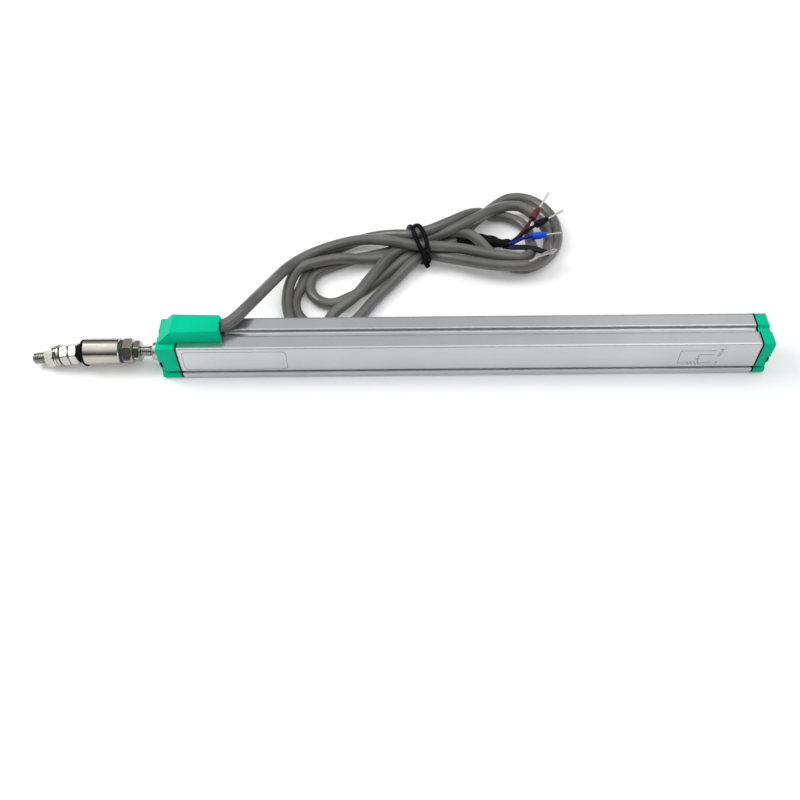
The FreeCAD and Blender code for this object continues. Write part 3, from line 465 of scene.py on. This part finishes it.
def through_tie(across, height, heading, reach):
    """The two points that take a strand through the tie, from the left for a positive reach."""
    x, y, z = at_tie(0, across, height)
    heading = math.radians(heading)
    step = (reach * math.cos(heading), reach * math.sin(heading))
    return [(x - step[0], y - step[1], z), (x + step[0], y + step[1], z)]


def turn(centre, radii, start, end, heights, steps=13):
    """Points round a loop's end, from one angle to another, with its heights spread along it."""
    points = []
    for i in range(steps + 1):
        share = i / steps
        angle = math.radians(start + (end - start) * share)
        place = share * (len(heights) - 1)
        low = min(int(place), len(heights) - 2)
        height = heights[low] + (heights[low + 1] - heights[low]) * (place - low)
        x = centre[0] + radii[0] * math.cos(angle)
        y = centre[1] + radii[1] * math.sin(angle)
        points.append((x, y, height))
    return points


HANK = [
    through_tie(-5.6, 11.6, -3, 6),
    [(-1.0, 74.4, 11.4), (12.0, 71.4, 10.4), (26.0, 68.2, 9.7), (38.2, 69.2, 7.4)],
    [(43.6, 80.6, 4.2)],
    turn((25.0, 92.6), (17.5, 18.5), -12, 100, (3.2, 3.1, 3.3)),
    [(12.5, 108.5, 9.1), (4.5, 101.8, 12.6), (-5.5, 92.4, 15.2)],
    through_tie(2.0, 14.8, 20, -6),
    [(-37.0, 87.6, 10.5), (-50.0, 90.5, 6.4), (-62.0, 89.5, 3.2), (-76.6, 79.5, 3.1)],
    [(-87.2, 68.5, 3.1)],
    turn((-73.0, 40.5), (19.9, 21.0), 150, 330, (3.1, 3.1, 3.1)),
    [(-48.3, 42.4, 3.1), (-38.4, 55.3, 3.2), (-29.8, 67.3, 4.0)],
    through_tie(-7.3, 4.9, 22, 4),
    [(-8.0, 71.6, 6.6), (3.0, 67.2, 8.2), (16.0, 62.4, 9.2), (31.0, 61.2, 9.0)],
    [(44.0, 64.6, 7.4), (51.6, 75.0, 5.0)],
    turn((33.0, 92.4), (20.5, 25.5), -25, 78, (4.0, 3.1, 3.1, 6.0)),
    [(29.0, 115.6, 7.4), (20.5, 108.4, 10.2), (10.5, 98.2, 13.2), (-3.0, 88.4, 13.6)],
    through_tie(0.2, 9.9, 24, -5),
    [(-37.0, 77.6, 6.4), (-44.5, 65.4, 8.0), (-51.6, 51.4, 9.4), (-58.5, 40.6, 7.4)],
    turn((-83.5, 41.4), (13.7, 25.0), -25, -235, (4.6, 3.1, 4.0, 6.4, 9.4)),
    [(-80.5, 66.3, 9.4), (-68.0, 70.4, 8.4), (-54.0, 72.2, 4.7), (-39.0, 75.3, 4.2)],
    through_tie(4.0, 4.8, 20, 5),
    [(-8.0, 89.7, 3.7), (2.5, 96.5, 3.1), (11.5, 107.0, 3.1), (21.5, 119.0, 3.1)],
    turn((37.5, 98.0), (21.8, 30.6), 110, 10, (3.1, 3.1)),
    turn((28.0, 97.0), (31.3, 33.0), -4, -72, (3.1, 3.1)),
    [(30.5, 66.2, 3.1), (23.6, 71.6, 3.1), (17.2, 79.6, 4.2), (11.0, 85.0, 8.7)],
    [(3.5, 89.9, 10.1)],
    through_tie(6.0, 9.8, 14, -5),
    [(-37.0, 79.4, 5.1), (-50.0, 77.7, 3.2), (-64.0, 73.8, 3.1)],
    turn((-73.0, 53.4), (12.3, 14.5), 110, 305, (3.1, 3.1)),
    [(-55.0, 48.5, 3.1), (-46.0, 58.0, 3.1), (-36.5, 69.2, 3.5)],
    through_tie(-1.9, 4.8, 25, 5),
    [(-8.0, 85.9, 4.4), (2.0, 88.6, 4.8)],
]
CABLE_LINE = FREE_STRETCH + [point for part in HANK for point in part]

cable = nurbs("cable", CABLE_LINE, CABLE_RADIUS, slot="cable_jacket")
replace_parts(cable, "cable_tube", "cable_hank")


# The wire that ties the hank: two turns round the strands and a twist of its ends in front.

TIE_RADIUS = 1.25
TIE_SECTION = [
    (10.2, 6.0), (9.6, 11.0), (7.6, 15.8), (3.2, 19.3), (-0.8, 18.2), (-5.4, 16.2), (-9.2, 13.4),
    (-10.8, 9.0), (-11.0, 4.4), (-8.2, 0.7), (-2.0, 0.5), (5.4, 0.5), (9.4, 1.6),
]
TIE_TURNS = {
    "tie_turn_left": [
        -6.0, -5.8, -5.6, -5.1, -4.6, -3.8, -2.8, -1.0, -0.8, -1.6, -3.2, -4.6, -5.6,
    ],
    "tie_turn_right": [
        -3.2, -2.9, -2.3, -0.5, 0.8, 1.5, 1.5, 1.2, 0.9, 0.5, -0.6, -1.8, -2.8,
    ],
}
TWIST_RADIUS = 1.5
TWIST_TOP = Vector((-19.4, 71.2, 12.6))
TWIST_FOOT = Vector((-18.6, 68.6, 3.6))
TWIST_ANGLE = 1.6 * math.pi
TWIST_SPREAD = 1.5
TWIST_NARROWING = 0.5
TWIST_STEPS = 14


def twisted(phase):
    """The line of one end of the tie, wound about the other."""
    points = []
    for i in range(TWIST_STEPS + 1):
        share = i / TWIST_STEPS
        angle = phase + TWIST_ANGLE * share
        spread = TWIST_SPREAD - TWIST_NARROWING * share
        centre = TWIST_TOP.lerp(TWIST_FOOT, share)
        points.append(centre + Vector((spread * math.cos(angle), spread * math.sin(angle), 0)))
    return points


tie = []
for name, places in TIE_TURNS.items():
    points = [at_tie(along, *section) for along, section in zip(places, TIE_SECTION)]
    tie.append(nurbs(name, points, TIE_RADIUS, slot="tie_black", closed=True))
for name, phase in (("tie_twist_a", 0.0), ("tie_twist_b", math.pi)):
    tie.append(nurbs(name, twisted(phase), TWIST_RADIUS, slot="tie_black"))
for piece in tie:
    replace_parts(piece, "cable_tie")


# The cable's open end: shrunk sleeve, leads in their ferrules and the sleeved screen.

SHRINK_LINE = [
    (-1.5, 87.9, 5.2), (4.4, 89.0, 5.2), (12.0, 89.0, 4.6), (19.0, 87.7, 4.2), (23.5, 86.2, 4.0),
    (27.2, 85.9, 4.0), (32.2, 84.8, 4.1),
]
SHRINK_SIZE = [
    (0.0, 3.25), (0.06, 3.6), (0.5, 3.6), (0.66, 3.5), (0.74, 2.7), (0.8, 2.6), (0.87, 2.95),
    (0.95, 2.5), (1.0, 1.9),
]
SHRINK_FOLDS = [(0.14, 2, 24), (0.1, 3, -41)]
SHRINK_WIDER, SHRINK_LOWER = 1.08, 0.94


def shrink_section(share, angle):
    size = along_profile(SHRINK_SIZE, share)
    size += sum(ripple(*fold, share, angle) for fold in SHRINK_FOLDS)
    return size * SHRINK_WIDER, size * SHRINK_LOWER


shrink_shell = swept(line_through(SHRINK_LINE), shrink_section)
shrink = joined("shrunk_sleeve", [shrink_shell], "shrink_black", "housing")
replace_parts(shrink, "heat_shrink")

LEAD_RADIUS = 0.95
LEADS = {
    "brown": [
        (29.6, 85.9, 4.6), (34.0, 88.6, 5.2), (38.0, 92.6, 7.3), (41.2, 96.8, 8.6),
        (44.7, 102.0, 10.4),
    ],
    "black": [
        (29.6, 85.2, 5.0), (33.6, 86.4, 6.4), (37.6, 89.6, 7.8), (41.4, 92.9, 8.6),
        (47.2, 96.5, 9.9),
    ],
    "blue": [
        (29.2, 84.3, 5.0), (32.4, 83.6, 6.6), (36.0, 85.0, 8.2), (39.0, 85.8, 8.7),
        (44.0, 86.4, 9.1),
    ],
}
# Each ferrule goes from its collar's mouth to its pin's tip.
FERRULES = {
    "brown": ((43.9, 100.8, 10.0), (54.9, 116.9, 16.0)),
    "black": ((45.6, 95.7, 9.5), (62.2, 103.7, 13.5)),
    "blue": ((42.6, 86.3, 9.0), (60.7, 88.3, 10.0)),
}
COLLAR = [(0.0, 1.95), (0.3, 2.2), (5.2, 2.05), (6.8, 1.65), (8.1, 1.55), (8.4, 1.3)]
COLLAR_SLOTS = {"brown": "collar_red", "black": "collar_black", "blue": "collar_blue"}
COLLAR_SQUARENESS = 0.035
PIN_START = 8.0
PIN_STEP = 0.13
PIN_RADIUS = 0.62
PIN_FLATNESS = 0.05
CRIMP_DEPTH = 0.05
CRIMP_PITCH = 1.3


def collar_size(station, angle):
    return along_profile(COLLAR, station) * (1 + COLLAR_SQUARENESS * math.cos(4 * angle))


def pin_size(station, angle):
    crimp = CRIMP_DEPTH * max(0.0, math.sin(math.tau * station / CRIMP_PITCH))
    return PIN_RADIUS - crimp + PIN_FLATNESS * math.cos(2 * angle)


leads = []
pin_shells = []
for colour, (mouth, tip) in FERRULES.items():
    reach = Vector(tip) - Vector(mouth)
    lead = nurbs(f"wire_{colour}", LEADS[colour], LEAD_RADIUS, slot=f"{colour}_sheath")
    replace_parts(lead, f"lead_{colour}")
    shell = turned([station for station, _ in COLLAR], collar_size, mouth, reach, sides=32)
    collar = joined(f"collar_{colour}", [shell], COLLAR_SLOTS[colour], "housing")
    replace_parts(collar, f"ferrule_collar_{colour}")
    pin_stations = steps_between(PIN_START, reach.length, PIN_STEP)
    pin_shells.append(turned(pin_stations, pin_size, mouth, reach, sides=24))
    leads += [lead, collar]
pins = joined("crimped_pins", pin_shells, "tinned_copper", "housing")
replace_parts(pins, "ferrule_pins")

SCREEN_SLEEVE = [
    (28.6, 84.0, 3.2), (33.6, 81.4, 5.2), (39.4, 78.0, 8.0), (45.0, 74.6, 9.2), (51.4, 71.6, 9.0),
]
SCREEN_WIDTH, SCREEN_WIDTH_FOLD = 2.0, (0.12, 3, 19)
SCREEN_HEIGHT, SCREEN_HEIGHT_FOLD = 1.2, (0.1, 2, -23)
STRAND_RADIUS = 0.34
SCREEN_STRANDS = [
    [
        (50.0, 72.2, 9.2), (54.6, 72.8, 9.6), (55.4, 73.8, 10.4),
        (52.4, 72.6, 11.4), (46.4, 67.6, 12.8), (41.0, 62.9, 13.2),
    ],
    [
        (50.0, 71.6, 9.2), (53.4, 71.2, 10.0), (54.2, 71.6, 11.0),
        (50.6, 69.4, 11.8), (45.6, 65.9, 12.8), (39.6, 62.2, 13.0),
    ],
    [
        (49.6, 71.6, 9.0), (53.0, 70.4, 9.8), (52.6, 69.8, 11.0),
        (48.6, 67.6, 12.0), (44.2, 65.0, 13.0), (38.6, 60.6, 12.8),
    ],
    [
        (49.6, 72.0, 9.0), (52.6, 71.8, 10.2), (51.6, 71.6, 11.2),
        (47.6, 68.6, 12.2), (43.4, 64.6, 13.2), (38.0, 61.4, 12.6),
    ],
]


def screen_section(share, angle):
    wide = SCREEN_WIDTH + ripple(*SCREEN_WIDTH_FOLD, share, angle)
    return wide, SCREEN_HEIGHT + ripple(*SCREEN_HEIGHT_FOLD, share, angle)


def strand_section(share, angle):
    return STRAND_RADIUS, STRAND_RADIUS


screen_shell = swept(line_through(SCREEN_SLEEVE), screen_section)
screen = joined("screen_sleeve", [screen_shell], "sleeve_dark", "housing")
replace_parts(screen, "shield_sleeve")
strand_shells = [
    swept(line_through(points), strand_section, sides=10) for points in SCREEN_STRANDS
]
strands = joined("screen_strands", strand_shells, "tinned_copper", "housing")
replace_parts(strands, "shield_braid")


# The rod and its guide bush. Stations are places along X.

THREAD_PITCH = 1.0
THREAD_DEPTH = 0.6
THREAD_STEP = 0.11
FLANK_SLOPE = 1.25
CREST_WIDTH = 0.12


def thread_groove(station, angle):
    """How far below the crest a thread's flank lies."""
    place = (station / THREAD_PITCH + angle / math.tau) % 1.0
    return THREAD_DEPTH * min(1.0, max(0.0, FLANK_SLOPE * abs(2 * place - 1) - CREST_WIDTH))


ROD_AXIS = 9.1
ROD_CENTRE = (0, 0, ROD_AXIS)
ROD_LINE = (1, 0, 0)
ROD_RADIUS = 3.0
ROD_THREAD_RADIUS = 2.95
ROD_TAIL_RADIUS = 2.0
ROD_CHAMFER = 0.5
ROD_TIP, ROD_THREAD_END, ROD_SHOULDER, ROD_END = -177.5, -159.0, 115.7, 144.5
# Two stations lie close together at each step in size, on the stud too.
ROD_STATIONS = steps_between(ROD_TIP, -159.05, THREAD_STEP) + [-158.95, 115.6, 115.71, ROD_END]


def rod_size(station, angle):
    if station < ROD_THREAD_END:
        chamfer = max(0.0, ROD_CHAMFER - (station - ROD_TIP))
        return ROD_THREAD_RADIUS - max(chamfer, thread_groove(station, angle))
    return ROD_RADIUS if station < ROD_SHOULDER else ROD_TAIL_RADIUS


rod_shell = turned(ROD_STATIONS, rod_size, ROD_CENTRE, ROD_LINE, sides=64)
rod = joined("threaded_rod", [rod_shell], "ground_steel", "rod")
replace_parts(rod, "rod")

BUSH = [
    (-152.3, 4.7), (-162.9, 4.7), (-163.4, 4.2), (-163.4, 3.7), (-161.9, 3.06), (-152.3, 3.06),
]
bush_shell = collar_ring(BUSH, ROD_CENTRE, ROD_LINE)
bush = joined("guide_bush", [bush_shell], "guide_metal", "housing")
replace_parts(bush, "rod_bush")


# The ball stud. Stations are distances from the ball's centre.

BALL = (-193.0, 0.0, ROD_AXIS)
LEAN = math.radians(8.6)
STUD_AXIS = (-math.cos(LEAN), 0.0, -math.sin(LEAN))
HEX_SIDES = 96
HEX_STEP = 0.08
HEX_RIM = 0.475
HEX_CHAMFER = 1.4


def hexagon_size(flats, roll, start, end):
    """A hexagon bar's size between two stations, with its corners turned off at both."""
    def size(station, angle):
        corner = (angle - math.radians(roll)) % (math.pi / 3) - math.pi / 6
        rim = flats * HEX_RIM + HEX_CHAMFER * min(station - start, end - station)
        return min(flats / 2 / math.cos(corner), rim)
    return size


BALL_RADIUS = 5.0
BALL_STEP = 0.3
POLE_RADIUS = 0.02
NECK_RADIUS = 2.5
COLLAR_FLATS = 10.0
COLLAR_ROLL = 36.0
COLLAR_STEP = 0.09
SHANK_RADIUS = 2.675
STUD_THREAD_RADIUS = 3.0
STUD_CHAMFER = 0.6
NECK, COLLAR_START, COLLAR_END, STUD_THREAD, STUD_TIP = 4.33, 9.3, 13.7, 27.25, 34.5
STUD_STATIONS = [
    *steps_between(-BALL_RADIUS, 4.3, BALL_STEP), 4.34, 9.29,
    *steps_between(COLLAR_START, COLLAR_END, COLLAR_STEP), 13.71, 27.2,
    *steps_between(27.26, STUD_TIP, THREAD_STEP),
]
stud_collar = hexagon_size(COLLAR_FLATS, COLLAR_ROLL, COLLAR_START, COLLAR_END)


def stud_size(station, angle):
    if station < NECK:
        return math.sqrt(max(BALL_RADIUS ** 2 - station * station, POLE_RADIUS ** 2))
    if station < COLLAR_START:
        return NECK_RADIUS
    if station <= COLLAR_END:
        return stud_collar(station, angle)
    if station < STUD_THREAD:
        return SHANK_RADIUS
    chamfer = max(0.0, STUD_CHAMFER - (STUD_TIP - station))
    return STUD_THREAD_RADIUS - max(chamfer, thread_groove(station, angle))


stud_shell = turned(STUD_STATIONS, stud_size, BALL, STUD_AXIS, HEX_SIDES)
stud = joined("threaded_stud", [stud_shell], "zinc_steel", "stud")
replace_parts(stud, "ball_stud")


# Nuts and hexagons: node, first and last station, width across flats and turn about the axis.

ROD_HEXAGONS = {
    "jam_nut_hexagon": ("jam_nut", -172.95, -169.5, 10.0, -5.0),
    "coupling_hexagon": ("coupling_hex", -178.6, -173.25, 12.0, -4.0),
}
STUD_HEXAGONS = {
    "inner_nut_hexagon": ("stud_nut_inner", 14.05, 18.6, 10.0, 36.0),
    "outer_nut_hexagon": ("stud_nut_outer", 22.15, 27.0, 10.0, 33.0),
}
for hexagons, slot, body, centre, axis in (
    (ROD_HEXAGONS, "nickel", "rod", ROD_CENTRE, ROD_LINE),
    (STUD_HEXAGONS, "zinc_steel", "stud", BALL, STUD_AXIS),
):
    for name, (node, start, end, flats, roll) in hexagons.items():
        size = hexagon_size(flats, roll, start, end)
        shell = turned(steps_between(start, end, HEX_STEP), size, centre, axis, HEX_SIDES)
        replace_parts(joined(name, [shell], slot, body), node)


# The washers between the nuts, and the boot between the sleeve and the stud.

WASHER_SIDES = 144
FLAT_RING = [(18.9, 5.2), (19.0, 5.75), (19.3, 6.0), (19.8, 6.0), (20.1, 5.75), (20.2, 5.2)]
SPLIT_RING = [(20.5, 4.5), (20.6, 5.15), (20.85, 5.5), (21.5, 5.5), (21.75, 5.15), (21.85, 4.5)]
SPLIT_FLOOR = 3.5
SPLIT_HALF_WIDTH = math.radians(5)
SPLIT_MIDDLE, SPLIT_PLACE, SPLIT_SLANT = 21.2, 64, 14


def split_ring_size(station, angle):
    """A spring washer's size, with the slanting gap between its ends."""
    split = math.radians(SPLIT_PLACE + SPLIT_SLANT * (station - SPLIT_MIDDLE))
    gap = abs((angle - split + math.pi) % math.tau - math.pi)
    return SPLIT_FLOOR if gap < SPLIT_HALF_WIDTH else along_profile(SPLIT_RING, station)


for name, node, profile, size in (
    ("flat_ring", "flat_washer", FLAT_RING, round_profile(FLAT_RING)),
    ("split_ring", "spring_washer", SPLIT_RING, split_ring_size),
):
    shell = turned([station for station, _ in profile], size, BALL, STUD_AXIS, WASHER_SIDES)
    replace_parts(joined(name, [shell], "zinc_steel", "stud"), node)

BOOT = [
    (5.72, 6.6), (5.85, 7.05), (6.35, 7.0), (6.6, 6.2), (6.9, 4.9), (7.6, 4.5), (8.3, 4.55),
    (8.8, 5.0), (9.15, 4.9), (9.25, 4.4),
]


BOOT_STATIONS = [station for station, _ in BOOT]
boot_shell = turned(BOOT_STATIONS, round_profile(BOOT), BALL, STUD_AXIS, sides=56)
boot = joined("rubber_boot", [boot_shell], "black_rubber")
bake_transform(boot)
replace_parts(boot, "dust_boot")


# The etched lines on the housing's front: a bare frame, and the wiring symbol with plain numbers.
# Points are (x, z).

MARK_FACE = -10.93
MARK_FOOT = -10.75
MARK_WIDTH = 0.24
FRAME_ROUNDING = 2.2
CORNER_STEPS = 6
# The centres of the frame's corners.
FRAME_LEFT, FRAME_RIGHT, FRAME_LOW, FRAME_HIGH = -143.3, -94.7, 8.8, 17.6


def rounded_corner(x, z, start):
    """Points round one corner of the frame, about its own centre."""
    turns = [math.radians(start + 90 * i / CORNER_STEPS) for i in range(CORNER_STEPS + 1)]
    return [
        (x + FRAME_ROUNDING * math.cos(angle), z + FRAME_ROUNDING * math.sin(angle))
        for angle in turns
    ]


FRAME_LINE = [
    *rounded_corner(FRAME_RIGHT, FRAME_HIGH, 0),
    *rounded_corner(FRAME_LEFT, FRAME_HIGH, 90),
    *rounded_corner(FRAME_LEFT, FRAME_LOW, 180),
    *rounded_corner(FRAME_RIGHT, FRAME_LOW, 270),
]
ZIGZAG_START, ZIGZAG_STEP, ZIGZAG_SWING, ZIGZAG_POINTS = 112.4, 0.9, 1.1, 8
TRACK = 8.4
ZIGZAG = [
    (ZIGZAG_START + ZIGZAG_STEP * i, TRACK + ZIGZAG_SWING * (-1) ** i)
    for i in range(ZIGZAG_POINTS)
]
RESISTOR = [(107.7, TRACK), (111.9, TRACK), *ZIGZAG, (119.2, TRACK), (125.0, TRACK)]
MARKS = [
    FRAME_LINE + FRAME_LINE[:1],
    # The track's line with its resistor.
    [(125.5, 17.6), (107.7, 17.6), *RESISTOR],
    # The wiper's line and its arrow.
    [(125.0, 14.6), (117.4, 14.6), (117.4, 10.3)],
    [(116.5, 11.9), (117.4, 10.3), (118.3, 11.9)],
    # The digits 3, 2 and 1.
    [(127.2, 18.8), (129.0, 18.8), (128.0, 17.9), (129.0, 17.2), (128.5, 16.6), (127.2, 16.6)],
    [(126.9, 15.2), (127.6, 15.6), (128.5, 15.1), (126.9, 13.5), (128.7, 13.5)],
    [(126.8, 9.1), (127.6, 9.6), (127.6, 7.4)],
]


def strip(start, end):
    """A thin closed strip from one point to another, let into the housing's front."""
    (x0, z0), (x1, z1) = start, end
    along = Vector((x1 - x0, 0, z1 - z0)).normalized() * MARK_WIDTH / 2
    across = Vector((-along.z, 0, along.x))
    vertices = []
    for y in (MARK_FACE, MARK_FOOT):
        first, last = Vector((x0, y, z0)) - along, Vector((x1, y, z1)) + along
        corners = (first - across, last - across, last + across, first + across)
        vertices += [metres(corner) for corner in corners]
    return vertices, rings(4, 2)


strips = [strip(start, end) for points in MARKS for start, end in zip(points, points[1:])]
joined("etched_marks", strips, "etched_mark", "housing")


# Stage, light and camera, in metres.

FLOOR_REACH = 6
FLOOR_DROP = 0.0006
FLOOR_COLOUR = (0.86, 0.86, 0.865, 1)
# The floor's own glow, by the distance from the part.
FLOOR_LIFT = {"From Min": 0.5, "From Max": 1.8, "To Min": 0.15, "To Max": 0.32}


def stage_floor():
    """A matt white floor that keeps its shadows, lifted to white where it is seen or mirrored."""
    mesh = bpy.data.meshes.new("floor")
    far = FLOOR_REACH
    corners = [(-far, -far, 0), (far, -far, 0), (far, far, 0), (-far, far, 0)]
    mesh.from_pydata(corners, [], [(0, 1, 2, 3)])
    floor = bpy.data.objects.new("floor", mesh)
    floor.location.z = -FLOOR_DROP
    bpy.context.scene.collection.objects.link(floor)
    nodes = Nodes("floor_white")
    nodes.set("Base Color", FLOOR_COLOUR)
    nodes.set("Roughness", 0.9)
    nodes.set("Specular IOR Level", 0.0)
    nodes.set("Emission Color", (1, 1, 1, 1))
    path = nodes.add("ShaderNodeLightPath")
    mirrored = nodes.add("ShaderNodeMath", operation="MAXIMUM")
    nodes.link(path, "Is Camera Ray", mirrored, 0)
    nodes.link(path, "Is Glossy Ray", mirrored, 1)
    seen = nodes.add("ShaderNodeMath", operation="MAXIMUM")
    nodes.link(mirrored, "Value", seen, 0)
    nodes.link(path, "Is Transmission Ray", seen, 1)
    distance = nodes.add("ShaderNodeVectorMath", operation="LENGTH")
    nodes.link(nodes.add("ShaderNodeTexCoord"), "Object", distance, 0)
    level = nodes.add("ShaderNodeMapRange", **FLOOR_LIFT)
    nodes.link(distance, "Value", level, "Value")
    lift = nodes.add("ShaderNodeMath", operation="MULTIPLY")
    nodes.link(level, "Result", lift, 0)
    nodes.link(seen, "Value", lift, 1)
    nodes.link(lift, "Value", nodes.shader, "Emission Strength")
    mesh.materials.append(nodes.material)


# The sky's brightness by the height of a direction, and its strength by the direction's X.
SKY = [(0.0, 0.62), (0.17, 0.62), (0.22, 0.03), (0.46, 0.035), (0.79, 0.60), (0.91, 1.0)]
SKY_BLUE = 1.01
SKY_STRENGTH = {"From Min": 0.12, "From Max": 0.45, "To Min": 1.36, "To Max": 2.4}


def studio_sky():
    """Bright from above, more so on the right, dark at middle height and pale at the horizon."""
    world = bpy.data.worlds.new("studio")
    bpy.context.scene.world = world
    world.use_nodes = True
    tree = world.node_tree
    background = tree.nodes["Background"]
    coordinates = tree.nodes.new("ShaderNodeTexCoord")
    direction = tree.nodes.new("ShaderNodeSeparateXYZ")
    tree.links.new(coordinates.outputs["Generated"], direction.inputs["Vector"])
    ramp = tree.nodes.new("ShaderNodeValToRGB")
    elements = ramp.color_ramp.elements
    elements[0].position = SKY[0][0]
    elements[1].position = SKY[-1][0]
    for height, _ in SKY[1:-1]:
        elements.new(height)
    for element, (_, level) in zip(elements, SKY):
        element.color = (level, level, level * SKY_BLUE, 1)
    tree.links.new(direction.outputs["Z"], ramp.inputs["Fac"])
    tree.links.new(ramp.outputs["Color"], background.inputs["Color"])
    strength = tree.nodes.new("ShaderNodeMapRange")
    for key, value in SKY_STRENGTH.items():
        strength.inputs[key].default_value = value
    tree.links.new(direction.outputs["X"], strength.inputs["Value"])
    tree.links.new(strength.outputs["Result"], background.inputs["Strength"])


LAMP_SIZE = 0.6
LAMP_POWER = 7.0
LAMP_PLACE = (-0.9, 0.25, 0.85)
LAMP_TARGET = Vector((0, 0.03, 0))


def soft_lamp():
    """A soft lamp from the upper left."""
    lamp = bpy.data.lights.new("softbox", "AREA")
    lamp.shape = "RECTANGLE"
    lamp.size = LAMP_SIZE
    lamp.size_y = LAMP_SIZE
    lamp.energy = LAMP_POWER
    softbox = bpy.data.objects.new("softbox", lamp)
    softbox.location = LAMP_PLACE
    aim = LAMP_TARGET - softbox.location
    softbox.rotation_euler = aim.to_track_quat("-Z", "Y").to_euler()
    bpy.context.scene.collection.objects.link(softbox)


EYE = (-33.0, -302.1, 350.6)
EYE_PITCH, EYE_YAW, EYE_ROLL = math.radians(51.87), math.radians(-0.39), math.radians(0.82)
LENS = 39.26
SENSOR = 36
NEAREST = 0.01


def camera():
    """The photograph's viewpoint."""
    level = Vector((math.sin(EYE_YAW), math.cos(EYE_YAW), 0)) * math.cos(EYE_PITCH)
    forward = level - Vector(UP) * math.sin(EYE_PITCH)
    right = Vector((math.cos(EYE_YAW), -math.sin(EYE_YAW), 0))
    down = forward.cross(right)
    across = right * math.cos(EYE_ROLL) + down * math.sin(EYE_ROLL)
    below = down * math.cos(EYE_ROLL) - right * math.sin(EYE_ROLL)
    data = bpy.data.cameras.new("camera")
    data.lens = LENS
    data.sensor_width = SENSOR
    data.clip_start = NEAREST
    eye = bpy.data.objects.new("camera", data)
    facing = Matrix((across, -below, -forward)).transposed().to_4x4()
    eye.matrix_world = Matrix.Translation(metres(EYE)) @ facing
    bpy.context.scene.collection.objects.link(eye)
    bpy.context.scene.camera = eye


stage_floor()
studio_sky()
soft_lamp()
camera()
bpy.context.scene.view_settings.view_transform = "Standard"

for entry in SUBPARTS:
    node = NODES[entry["node"]]
    node.data.materials.clear()
    node.data.materials.append(FINISH[entry["material_slot"]])

bpy.context.view_layer.update()
